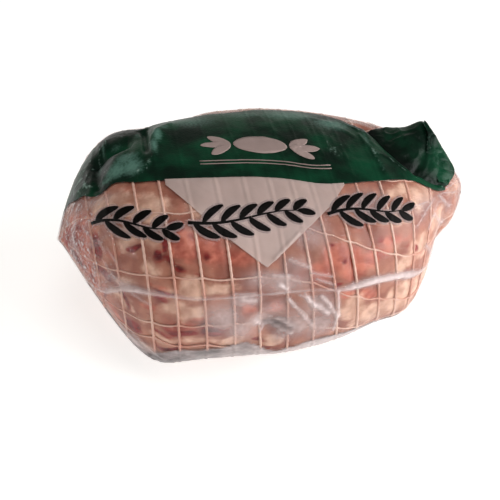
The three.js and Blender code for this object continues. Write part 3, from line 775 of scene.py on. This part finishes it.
# Clear shrink film on wet meat: a weak mirror, else clear, and milky where it lies double, which on crisp
# folds is partly a painted highlight. Painted shade greys the milky film where it hangs free and in its
# hollows. The looser it is, the more it breaks into small facets, and painted white glints stand in for wet
# specks.
def clear_shrink_film():
    material, tree = blank_material("clear shrink film")
    place = node(tree, "TexCoord").outputs["Object"]
    milk_and_highlight = node(tree, "Attribute", attribute_name="milky").outputs["Fac"]
    loose = node(tree, "Attribute", attribute_name="loose").outputs["Fac"]
    hanging = node(tree, "Attribute", attribute_name="hanging").outputs["Fac"]
    fine = node(tree, "TexNoise", {"Vector": place, "Scale": per_metre(3), "Detail": 4.0}).outputs["Fac"]
    wide = node(tree, "TexNoise", {"Vector": place, "Scale": per_metre(11), "Detail": 3.0}).outputs["Fac"]
    height = node(tree, "Math", {0: wide, 1: 2.0, 2: fine}, operation="MULTIPLY_ADD").outputs[0]
    cells = node(tree, "TexVoronoi", {"Vector": place, "Scale": per_metre(4.5)}).outputs
    across = node(tree, "VectorMath", {0: place, 1: cells["Position"]}, operation="SUBTRACT").outputs[0]
    tilts = {0: cells["Color"], 1: (0.5, 0.5, 0.5)}
    tilt = node(tree, "VectorMath", tilts, operation="SUBTRACT").outputs[0]
    facets = node(tree, "VectorMath", {0: across, 1: tilt}, operation="DOT_PRODUCT").outputs["Value"]
    height = node(tree, "Math", {0: facets, 1: 0.25 / MM, 2: height}, operation="MULTIPLY_ADD").outputs[0]
    relief = node(tree, "Math", {0: height, 1: loose}, operation="MULTIPLY").outputs[0]
    normal = node(tree, "Bump", {"Height": relief, "Strength": 0.5, "Distance": 1.2 * MM}).outputs[0]
    clear = node(tree, "BsdfTransparent", {"Color": linear("#fdfafa")})
    gloss = node(tree, "BsdfGlossy", {"Color": linear("#ffffff"), "Roughness": 0.08, "Normal": normal})
    mirror = node(tree, "Fresnel", {"IOR": 1.36, "Normal": normal}).outputs[0]
    weak = node(tree, "Math", {0: mirror, 1: 0.4}, operation="MULTIPLY").outputs[0]
    tight = node(tree, "MixShader", {0: weak, 1: clear.outputs[0], 2: gloss.outputs[0]})
    streaks = node(tree, "Math", {0: wide, 1: 1.9}, operation="MULTIPLY").outputs[0]
    # Painted shade: where the film hangs free, its milky part is mixed towards grey, in streaks.
    painted_grey_share = node(tree, "Math", {0: hanging, 1: streaks}, operation="MULTIPLY", use_clamp=True).outputs[0]
    painted_grey_tints = {0: painted_grey_share, 6: linear("#d8c6c5"), 7: linear("#706667")}
    double = node(tree, "BsdfPrincipled", {
        "Base Color": node(tree, "Mix", painted_grey_tints, data_type="RGBA").outputs[2],
        "Roughness": 0.3, "IOR": 1.4, "Normal": normal,
    })
    uneven = node(tree, "Math", {0: fine, 1: 0.9, 2: 0.55}, operation="MULTIPLY_ADD").outputs[0]
    share = node(tree, "Math", {0: milk_and_highlight, 1: uneven}, operation="MULTIPLY", use_clamp=True).outputs[0]
    # Painted white glints: where the film is loose, peaks of a fine noise are mixed to the milky film as
    # wet specks.
    glint_noise = node(tree, "TexNoise", {"Vector": place, "Scale": per_metre(2.2), "Detail": 2.0}).outputs["Fac"]
    wet = node(tree, "Math", {0: loose, 1: 0.08, 2: glint_noise}, operation="MULTIPLY_ADD").outputs[0]
    level = {"Value": wet, "From Min": 0.79, "From Max": 0.85, "To Max": 0.85}
    painted_glints = node(tree, "MapRange", level, interpolation_type="SMOOTHSTEP").outputs["Result"]
    share = node(tree, "Math", {0: share, 1: painted_glints}, operation="MAXIMUM").outputs[0]
    film = node(tree, "MixShader", {0: share, 1: tight.outputs[0], 2: double.outputs[0]})
    node(tree, "OutputMaterial", {"Surface": film.outputs[0]})
    return material


film_x, film_angle = film_grid()
film_points = on_roll(film_x, film_angle, film_rise(film_x, film_angle))


def hanging_free(x, angle):
    """Where the film hangs free: 1 below the skirt's edge, fading under the roll, and in its hollows, where
    painted shade greys it.
    """
    below = -away_from(x, angle, SKIRT_EDGE)
    skirt = smoothstep(below, *SKIRT_START) * (1 - smoothstep(below, *SKIRT_END))
    return np.maximum(skirt, marks(x, angle, PAINTED_HOLLOW_SHADE))


def milkiness_and_highlights(x, angle):
    """How milky the film is: its patches, the creases, the crisp folds, the crumpled ends and where it
    hangs free. On the crisp folds and the crumpled wrinkles the milk is partly a painted highlight."""
    crest = bump(away_from(x, angle, FRONT_CREASE), CREST_WIDTH * smooth_line(x, CREASE_HALF))
    crease = smooth_line(x, CREASE_MILK) * crest
    folded = FOLD_MILK_AND_HIGHLIGHT * fold_rise(x, angle, CRISP_FOLDS, CRISP)
    web = creases(on_roll(x, angle, 0.0), WIDE_WRINKLE, seed=31)
    wrinkle = WRINKLE_MILK_AND_HIGHLIGHT * crumpled(x, angle) * web
    patches = np.maximum(marks(x, angle, MILKY), SKIRT_MILK * hanging_free(x, angle))
    return np.clip(patches + crease + folded + wrinkle, 0, MOST_MILK)


def make_film():
    points, faces = skin_mesh(film_points)
    paler_from, paler_to, paler = SKIRT_PALER
    # Painted shade: grey under the roll, paler towards the middle, and in the hollows.
    hanging = hanging_free(film_x, film_angle) * (1 - paler * smoothstep(film_x, paler_from, paler_to))
    hanging = np.maximum(hanging, marks(film_x, film_angle, PAINTED_HOLLOW_SHADE))
    film = piece_of(
        "shrink_bag", points, faces, clear_shrink_film(), "film",
        milky=with_tips(milkiness_and_highlights(film_x, film_angle)),
        loose=with_tips(LEAST_LOOSE + LOOSE_BY_CRUMPLE * crumpled(film_x, film_angle)),
        hanging=with_tips(hanging),
    )
    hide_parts("pack")


make_film()

# ------------------------------------------------------------------------------ the printed band
# A band of dark green ink along the bag's crown, printed on the film before the bag was shrunk, so it
# is as glossy and as crumpled as the film. It ends at the root of the tab.

INK_ABOVE_FILM = 0.12
INK_THICKNESS = 0.05
BAND_END = 92

# Rubbed ink with a painted highlight on its crinkles: the lengths of its wide and its fine crinkles, how
# strong the fine ones are beside the wide ones, and how strong the paling is anywhere, where the film is
# crumpled as well, and on crisp folds.
WIDE_CRINKLE, FINE_CRINKLE, FINE_CRINKLES = 9, 4, 0.7
RUBBED_AND_HIGHLIT, RUBBED_AND_HIGHLIT_BY_CRUMPLE, RUBBED_AND_HIGHLIT_BY_FOLDS = 0.2, 0.6, 0.75

# Planes of crumpled film where a reflection is painted on the ink as a paler teal.
PAINTED_SHEEN_PATCHES = [
    (-80, 86, 8, 4.5, 0.9), (-72, 85.5, 7, 5, 0.9), (-85, 84, 5, 3, 0.7), (-74, 90, 8, 2.5, 0.8),
    (-59, 93, 3, 4, 0.8), (-56, 98.5, 3.5, 5, 0.8), (-51.5, 104, 4, 3, 0.6),
    (-97, 104, 3, 9, 0.35), (-85, 107, 1.4, 7, 0.55),
    (-36, 110, 20, 9, 0.6), (-4, 113, 16, 6, 0.55), (20, 112, 22, 8, 0.7), (42, 105, 14, 8, 0.75),
    (-88, 94, 4, 5, 0.5), (-78, 103, 5, 3, 0.5), (-66, 104, 3, 4, 0.5),
    (58, 94, 3, 9, 0.5), (60, 78, 2.5, 8, 0.4), (69, 84, 4, 3, 0.35), (52, 74, 3, 5, 0.25),
]


def thicken(piece, thickness):
    """Gives a sheet its wall, inwards from the side that shows."""
    wall = piece.modifiers.new("wall", "SOLIDIFY")
    wall.thickness = thickness * MM
    wall.offset = -1


# Green flexo ink on film: deep and nearly black where it mirrors nothing, paler where a reflection is
# painted on planes of crumpled film, and palest on crinkles, which are rubbed and carry a painted
# highlight. Painted shade makes it near black deep in the tab's pocket.
def green_ink():
    material, tree = blank_material("green printed film")
    place = node(tree, "TexCoord").outputs["Object"]
    crinkle = node(tree, "Attribute", attribute_name="crinkle").outputs["Fac"]
    faded = node(tree, "Attribute", attribute_name="faded").outputs["Fac"]
    fine = node(tree, "TexNoise", {"Vector": place, "Scale": per_metre(1.3), "Detail": 5.0}).outputs["Fac"]
    wide = node(tree, "TexNoise", {"Vector": place, "Scale": per_metre(24), "Detail": 3.0}).outputs["Fac"]
    level = {"Value": wide, "From Min": 0.35, "From Max": 0.7}
    patchy = node(tree, "MapRange", level, interpolation_type="SMOOTHSTEP").outputs["Result"]
    tints = {0: patchy, 6: linear("#041910"), 7: linear("#0a4029")}
    ink = node(tree, "Mix", tints, data_type="RGBA").outputs[2]
    # Painted reflection: the ink pales to teal on the planes of crumpled film.
    clouded = node(tree, "Math", {0: fine, 1: 0.6, 2: faded}, operation="MULTIPLY_ADD").outputs[0]
    level = {"Value": clouded, "From Min": 0.55, "From Max": 1.25}
    painted_sheen_share = node(tree, "MapRange", level, interpolation_type="SMOOTHSTEP").outputs["Result"]
    ink = node(tree, "Mix", {0: painted_sheen_share, 6: ink, 7: linear("#587d70")}, data_type="RGBA").outputs[2]
    # Rubbed ink and painted highlight: the crinkles pale towards grey-green.
    rubbed_and_highlit_level = node(tree, "Math", {0: fine, 1: 1.2, 2: crinkle}, operation="MULTIPLY_ADD").outputs[0]
    level = {"Value": rubbed_and_highlit_level, "From Min": 1.15, "From Max": 1.9}
    rubbed_and_highlit = node(tree, "MapRange", level, interpolation_type="SMOOTHSTEP").outputs["Result"]
    ink = node(tree, "Mix", {0: rubbed_and_highlit, 6: ink, 7: linear("#7a9489")}, data_type="RGBA").outputs[2]
    # Painted shade: near black deep in the tab's pocket.
    shaded = node(tree, "Attribute", attribute_name="shaded").outputs["Fac"]
    colour = node(tree, "Mix", {0: shaded, 6: ink, 7: linear("#020504")}, data_type="RGBA").outputs[2]
    height = node(tree, "Math", {0: wide, 1: 3.0, 2: fine}, operation="MULTIPLY_ADD").outputs[0]
    shader = node(tree, "BsdfPrincipled", {
        "Base Color": colour, "Roughness": 0.35, "IOR": 1.38, "Specular IOR Level": 0.22,
        "Normal": node(tree, "Bump", {"Height": height, "Strength": 0.3, "Distance": 0.5 * MM}).outputs[0],
    })
    node(tree, "OutputMaterial", {"Surface": shader.outputs[0]})
    return material


def make_band():
    first_row, rows = ROWS_BETWEEN[0], ROWS_BETWEEN[1] + 1
    columns = int((places_along(*FILM_COLUMNS) < BAND_END).sum())
    cut = (slice(0, columns), slice(first_row, first_row + rows))
    points = film_points[cut] + INK_ABOVE_FILM * normals_of(film_points)[cut]
    x, angle = film_x[cut], film_angle[cut]
    bare = on_roll(x, angle, 0.0)
    web = creases(bare, WIDE_CRINKLE, seed=41) + FINE_CRINKLES * creases(bare, FINE_CRINKLE, seed=42)
    crinkle = web * (RUBBED_AND_HIGHLIT + RUBBED_AND_HIGHLIT_BY_CRUMPLE * crumpled(x, angle))
    crinkle = crinkle + RUBBED_AND_HIGHLIT_BY_FOLDS * fold_rise(x, angle, CRISP_FOLDS, CRISP)
    band = piece_of(
        "printed_band", points, grid_faces(columns, rows), green_print, "print",
        crinkle=crinkle, faded=marks(x, angle, PAINTED_SHEEN_PATCHES),
    )
    thicken(band, INK_THICKNESS)


green_print = green_ink()
make_band()

# ------------------------------------------------------------------------------ the other prints
# Further inks on the bag: a pale see-through panel that hangs from the band to a point, a row of black
# herb sprigs with pale edges, and a pale ornament on the green. They are as thin as the ink of the band.

PANEL_EDGE = [
    (-57.2, 74), (-47.5, 63), (-35.7, 49), (-17.2, 31), (-12.7, 27), (9.1, 44), (25.2, 56), (35.7, 67),
]
PANEL_COLUMNS, PANEL_ROWS = 150, 60
PANEL_ABOVE_FILM = 0.22
SPRIG_LINE = [(-100, 54), (-73, 52), (-20, 54), (22, 51.5), (75, 48)]
SPRIGS = [(-96, -53, 4, 1), (-49, 14, 6, -1), (22, 71, 5, 1)]  # from x, to x, pairs of leaves, first side
LEAF_LENGTH, LEAF_HALF, LEAF_LEAN = 15.5, 1.9, 60
STEM_HALF = 0.7
HALO = 1.1  # how far the pale edge stands out round the black
HALO_ABOVE_FILM, BLACK_ABOVE_FILM = 0.3, 0.42
LEAF_ALONG, LEAF_ACROSS = 26, 7


def on_film(x, angle, above):
    """Places the given distance above the film."""
    return over_relief(x, angle, film_rise, above, nearby=0.3)[0]


def walked(x, start, height, steps=12):
    """The angle that lies a height in millimetres up the roll from a start angle: the height is walked
    in equal steps, each turned into degrees by how much roll a degree covers there."""
    angle = np.broadcast_to(start, np.shape(height)).astype(float)
    for _ in range(steps):
        covered = np.linalg.norm(on_roll(x, angle + 0.5, 0.0) - on_roll(x, angle - 0.5, 0.0), axis=-1)
        angle = angle + height / steps / covered
    return angle


def flat_ribbon(centre, half):
    """A ribbon in the flat print, as (x, height): a centre line of shape (along, 2), with its half
    width to both sides of it."""
    tangent = np.gradient(centre, axis=0)
    side = np.stack([-tangent[:, 1], tangent[:, 0]], axis=-1)
    side /= np.maximum(np.linalg.norm(side, axis=-1, keepdims=True), 1e-9)
    t = np.linspace(-1, 1, LEAF_ACROSS)[None, :, None]
    return centre[:, None] + side[:, None] * t * np.reshape(half, (-1, 1, 1))


def lens(t, half):
    """Half the width of a lens, t of the way along: half times the root of sin(pi t), and above 0."""
    return half * np.sqrt(np.sin(np.pi * np.clip(t, 0.004, 0.996)))


def leaf(root, heading, length, half, bend):
    """A leaf in the flat print, as wide as a lens: at t it lies length * t from its root, in the
    direction heading + bend * t."""
    t = np.linspace(0, 1, LEAF_ALONG)
    turned = (heading + bend * t) * DEGREE
    centre = np.stack([root[0] + length * t * np.cos(turned), root[1] + length * t * np.sin(turned)], -1)
    return flat_ribbon(centre, lens(t, half))


def sprig(start, end, pairs, side):
    """A herb sprig in the flat print: a waving stem, with leaves that get shorter to its tip."""
    t = np.linspace(0, 1, LEAF_ALONG)
    stem = np.stack([start + (end - start - 7) * t, 2.2 * side * np.sin(2 * np.pi * t * 0.8)], -1)
    ribbons = [flat_ribbon(stem, STEM_HALF * (1.3 - t))]
    for i in range(2 * pairs):
        share = (i + 0.6) / (2 * pairs)
        root = [np.interp(share, t, stem[:, k]) for k in (0, 1)]
        up = side * (1 if i % 2 == 0 else -1)
        length = LEAF_LENGTH * (1 - 0.38 * share)
        ribbons.append(leaf(root, up * LEAF_LEAN, length, LEAF_HALF, -up * 22))
    ribbons.append(leaf(stem[-1], 4 * side, 9, LEAF_HALF, 8 * side))
    return ribbons


def printed_ribbons(name, ribbons, line, above, material):
    """A piece from flat ribbons of one grid size, laid on the film above or below a line."""
    flat = np.stack(ribbons)
    x, height = flat[..., 0], flat[..., 1]
    angle = walked(x, smooth_line(x, line), height)
    points = on_film(x, angle, above)
    along, across = flat.shape[1:3]
    one = np.array(grid_faces(along, across))
    faces = (one[None] + np.arange(len(ribbons))[:, None, None] * along * across).reshape(-1, 4)
    piece = piece_of(name, points, faces[:, ::-1].tolist(), material, "print")
    thicken(piece, INK_THICKNESS)


# Thin inks: the pale ones are milky and see-through, and the black one is dense with a soft gloss.
def thin_ink(name, colour, cover, roughness=0.35, shine=0.3):
    material, tree = blank_material(name)
    place = node(tree, "TexCoord").outputs["Object"]
    wide = node(tree, "TexNoise", {"Vector": place, "Scale": per_metre(18), "Detail": 3.0}).outputs["Fac"]
    fine = node(tree, "TexNoise", {"Vector": place, "Scale": per_metre(3), "Detail": 3.0}).outputs["Fac"]
    uneven = node(tree, "Math", {0: wide, 1: 0.5, 2: 0.75}, operation="MULTIPLY_ADD").outputs[0]
    tint = {"Color": linear(colour), "Value": uneven}
    normal = node(tree, "Bump", {"Height": fine, "Strength": 0.25, "Distance": 0.5 * MM}).outputs[0]
    ink = node(tree, "BsdfPrincipled", {
        "Base Color": node(tree, "HueSaturation", tint).outputs[0], "Roughness": roughness,
        "IOR": 1.5, "Specular IOR Level": shine, "Normal": normal,
    })
    if cover >= 1:
        node(tree, "OutputMaterial", {"Surface": ink.outputs[0]})
        return material
    clear = node(tree, "BsdfTransparent")
    laid = node(tree, "MixShader", {0: cover, 1: clear.outputs[0], 2: ink.outputs[0]})
    node(tree, "OutputMaterial", {"Surface": laid.outputs[0]})
    return material


def make_panel():
    edge_x, edge_angle = np.array(PANEL_EDGE, float).T
    x = np.linspace(edge_x[0] + 0.5, edge_x[-1] - 0.5, PANEL_COLUMNS)[:, None]
    low = np.interp(x, edge_x, edge_angle)
    high = smooth_line(x, BAND_FRONT) + 0.5
    angle = low + (high - low) * np.linspace(0, 1, PANEL_ROWS)[None, :]
    points = on_film(np.broadcast_to(x, angle.shape), angle, PANEL_ABOVE_FILM)
    material = thin_ink("milky see-through ink", "#d6c1ba", 0.47)
    panel = piece_of("pale_panel", points, grid_faces(PANEL_COLUMNS, PANEL_ROWS), material, "print")
    thicken(panel, INK_THICKNESS)


def make_sprigs():
    halos, blacks = [], []
    for start, end, pairs, side in SPRIGS:
        ribbons = sprig(start, end, pairs, side)
        blacks += ribbons
        for ribbon in ribbons:
            middle = ribbon.mean(axis=1, keepdims=True)
            out = ribbon - middle
            reach = np.linalg.norm(out, axis=-1, keepdims=True)
            widest = reach.max(axis=1, keepdims=True)
            halos.append(middle + out * (widest + HALO) / np.maximum(widest, 1e-6))
    pale = thin_ink("pale ink edge", "#bfabaa", 0.26)
    black = thin_ink("black ink", "#050302", 1.0, 0.5, shine=0.08)
    printed_ribbons("sprig_edges", halos, SPRIG_LINE, HALO_ABOVE_FILM, pale)
    printed_ribbons("black_sprigs", blacks, SPRIG_LINE, BLACK_ABOVE_FILM, black)


# The ornament on the green: a lens between two fans of three petals, over two rules.
ORNAMENT_ABOVE_FILM = 0.3
ORNAMENT_MIDDLE = (-3, 28)  # x, and height above the band's front edge
LENS_HALF_LENGTH, LENS_HALF = 14, 8
PETALS = [(38, 14), (0, 16), (-38, 14)]  # heading and length
PETAL_ROOT, PETAL_HALF = 15.5, 2.9
RULE_HALF_LENGTH, RULE_HALF, RULE_HEIGHTS = 34, 0.35, (11.5, 14)


def make_ornament():
    middle_x, middle_height = ORNAMENT_MIDDLE
    t = np.linspace(0, 1, LEAF_ALONG)

    def row(half_length, height, half):
        line = np.stack([middle_x + half_length * (2 * t - 1), np.full_like(t, height)], -1)
        return flat_ribbon(line, half)

    shapes = [row(LENS_HALF_LENGTH, middle_height, lens(t, LENS_HALF))]
    for side in (-1, 1):
        for heading, length in PETALS:
            root = (middle_x + side * PETAL_ROOT, middle_height)
            shapes.append(leaf(root, heading if side > 0 else 180 - heading, length, PETAL_HALF, 0))
    shapes += [row(RULE_HALF_LENGTH, height, RULE_HALF) for height in RULE_HEIGHTS]
    pale = thin_ink("pale opening in the ink", "#9c8883", 1.0)
    printed_ribbons("pale_ornament", shapes, BAND_FRONT, ORNAMENT_ABOVE_FILM, pale)


make_panel()
make_sprigs()
make_ornament()

# ------------------------------------------------------------------------------ the tab of spare film
# Where the bag's mouth was closed, spare printed film stands up as a tab: a leaf that rises from the roll,
# with its outer part folded forward over it. The fold's free edge is drawn paler.

# Its root on the roll, as (x, angle) points, then its rim, the fold's free edge and the fold's line in
# space, each from the far end of the root to its near end.
TAB_FOOT = [(61, 102.5), (67, 90), (70.5, 83), (77, 73), (80.5, 68.5), (85.5, 62), (91, 55.5), (95, 51.5)]
TAB_SINK = 0.6
TAB_RIM = [(75, 23, 94.5), (84, 19.5, 96), (93.9, 18, 99.5), (96.4, 10.5, 97.6), (104.7, -10.4, 83.3),
           (100.1, -17.5, 81.4)]
TAB_FREE_EDGE = [(93, 14, 101), (93.4, 7, 99), (89.7, -6, 92.6), (91, -10, 90.4), (92.5, -20.4, 84.5)]
TAB_FOLD_LINE = [(94.5, 17.5, 100), (97, 10, 98), (101, -1, 91), (104.9, -10.6, 83.6), (98, -19.5, 81.6)]
TAB_ALONG, TAB_OUT = 90, 26
TAB_THICKNESS = 0.35
TAB_CREASE, TAB_CREASE_LENGTH = 0.7, 14
TAB_RIPPLE, TAB_RIPPLE_LENGTH = 0.4, 9
TAB_CRINKLE, TAB_CRINKLE_LENGTH = 0.4, 7
EDGE_PALING, EDGE_START = 0.7, 0.96  # how much paler the last part of a leaf is drawn, and where that starts
PAINTED_SHADE_FADE = (0.1, 0.55)  # from where to where the painted shade of a pocket fades


def through(points, count):
    """Evenly spread places on a smooth curve through points, by share of the way between them."""
    points = np.array(points, float)
    way = np.concatenate([[0], np.cumsum(np.linalg.norm(np.diff(points, axis=0), axis=1))])
    share = np.linspace(0, 1, count)
    axes = [smooth_line(share, list(zip(way / way[-1], points[:, k]))) for k in range(3)]
    return np.stack(axes, axis=-1) + (0, BACKWARD, 0)


def tab_foot():
    """The tab's root: places along its line on the film, and a little below the surface."""
    x = np.linspace(TAB_FOOT[0][0], TAB_FOOT[-1][0], TAB_ALONG)
    return on_film(x, smooth_line(x, TAB_FOOT), -TAB_SINK)


def film_leaf(name, start, end, belly, seed, faded=0.0, painted_pocket_shade=0.0):
    """A leaf of film between two curves: the straight line from one to the other, bowed outwards by a half
    sine, with a web of sharp creases. Its painted pocket shade darkens it towards near black deep down by
    the start."""
    t = np.linspace(0, 1, TAB_OUT)[None, :, None]
    points = start[:, None] * (1 - t) + end[:, None] * t
    t = t[..., 0]
    normal = normals_of(points, joined=False)
    bow = belly * np.sin(np.pi * t)
    web = TAB_CREASE * creases(points, TAB_CREASE_LENGTH, seed)
    web = web + TAB_RIPPLE * ripples(points, TAB_RIPPLE_LENGTH, seed + 1)
    points = points + normal * (bow + web * np.sin(np.pi * t) ** 0.5)[..., None]
    crinkle = TAB_CRINKLE * creases(points, TAB_CRINKLE_LENGTH, seed + 2)
    crinkle = crinkle + EDGE_PALING * (t > EDGE_START)
    leaf_piece = piece_of(
        name, points, grid_faces(TAB_ALONG, TAB_OUT), green_print, "print",
        crinkle=crinkle, faded=np.full(crinkle.shape, faded),
        shaded=np.broadcast_to(painted_pocket_shade * (1 - smoothstep(t, *PAINTED_SHADE_FADE)), crinkle.shape),
    )
    thicken(leaf_piece, TAB_THICKNESS)


film_leaf("tab_leaf", tab_foot(), through(TAB_RIM, TAB_ALONG), 1.0, seed=51, painted_pocket_shade=0.85)
fold_line, free_edge = through(TAB_FOLD_LINE, TAB_ALONG), through(TAB_FREE_EDGE, TAB_ALONG)
# The folded part carries a little painted reflection all over.
film_leaf("tab_folded_part", fold_line, free_edge, -1.2, seed=54, faded=0.3)

# ------------------------------------------------------------------------------ the studio
# A white light table in a room that is pale near the horizon and dim above. A large soft light stands
# low at the right, weaker ones stand at the left and above, and three small ones glint in the film.

FLOOR_GAP = 0.3
FLOOR_HALF = 1500
LIGHTS = {  # turn from the front, tilt above the table, distance from the aim, size, and power in watts
    "key": (66, 16, 1500, 1500, 30),
    "fill": (-60, 35, 1400, 900, 1),
    "top": (20, 78, 1500, 700, 5.5),
    "left_glint": (-78, 14, 900, 38, 0.34),
    "far_left_glint": (-104, 8, 900, 38, 0.34),
    "right_glint": (35, 50, 1000, 45, 0.4),
}
TURN, TILT, DISTANCE = -11.8, 38, 620  # the camera's place round the aim, above it and from it
AIM = (2, BACKWARD, 50)
LOOK_RIGHT, LOOK_UP = -9.9, -12.4  # how far beside the aim the picture's middle lies
LENS = 78.7


def make_floor():
    corners = np.array([(-1, -1), (1, -1), (1, 1), (-1, 1)]) * FLOOR_HALF
    points = [(x, y, -FLOOR_GAP) for x, y in corners]
    material, tree = blank_material("white acrylic light table")
    shader = node(tree, "BsdfPrincipled", {
        "Base Color": linear("#cfcfcd"), "Roughness": 0.55,
        "Emission Color": linear("#fffdfb"), "Emission Strength": 0.72,
    })
    node(tree, "OutputMaterial", {"Surface": shader.outputs[0]})
    mesh = bpy.data.meshes.new("floor")
    mesh.from_pydata([Vector(p) * MM for p in points], [], [[0, 1, 2, 3]])
    mesh.materials.append(material)
    floor = bpy.data.objects.new("floor", mesh)
    bpy.context.scene.collection.objects.link(floor)


def direction_at(turn, tilt):
    """The direction at a turn from the front, rightwards, and a tilt above the table."""
    turn, tilt = turn * DEGREE, tilt * DEGREE
    return Vector((np.sin(turn) * np.cos(tilt), -np.cos(turn) * np.cos(tilt), np.sin(tilt)))


def soft_light(name, turn, tilt, away, size, power):
    """A square white area light, aimed at the pack."""
    direction = direction_at(turn, tilt)
    light = bpy.data.lights.new(name, "AREA")
    light.size = size * MM
    light.energy = power
    lamp = bpy.data.objects.new(name, light)
    lamp.location = (Vector(AIM) + direction * away) * MM
    lamp.rotation_euler = direction.to_track_quat("Z", "Y").to_euler()
    bpy.context.scene.collection.objects.link(lamp)


def make_room():
    """The room: pale near the horizon and dim above, by the height of the direction looked in."""
    world = bpy.data.worlds.new("studio")
    world.use_nodes = True
    tree = world.node_tree
    tree.nodes.clear()
    towards = node(tree, "TexCoord").outputs["Generated"]
    height = node(tree, "SeparateXYZ", {"Vector": towards}).outputs["Z"]
    level = {"Value": height, "From Min": 0.1, "From Max": 0.45, "To Min": 0.55, "To Max": 0.14}
    strength = node(tree, "MapRange", level, interpolation_type="SMOOTHSTEP").outputs["Result"]
    light = node(tree, "Background", {"Color": linear("#fff9f2"), "Strength": strength})
    node(tree, "OutputWorld", {"Surface": light.outputs[0]})
    bpy.context.scene.world = world


def make_camera():
    back = direction_at(TURN, TILT)
    right = direction_at(TURN + 90, 0)
    up = back.cross(right)
    stand = Vector(AIM) + back * DISTANCE
    target = Vector(AIM) + right * LOOK_RIGHT + up * LOOK_UP
    lens = bpy.data.cameras.new("camera")
    lens.lens = LENS
    lens.clip_start = 0.01
    camera = bpy.data.objects.new("camera", lens)
    camera.location = stand * MM
    camera.rotation_euler = (stand - target).to_track_quat("Z", "Y").to_euler()
    bpy.context.scene.collection.objects.link(camera)
    bpy.context.scene.camera = camera


make_floor()
for name, settings in LIGHTS.items():
    soft_light(name, *settings)
make_room()
make_camera()
bpy.context.scene.view_settings.view_transform = "Standard"
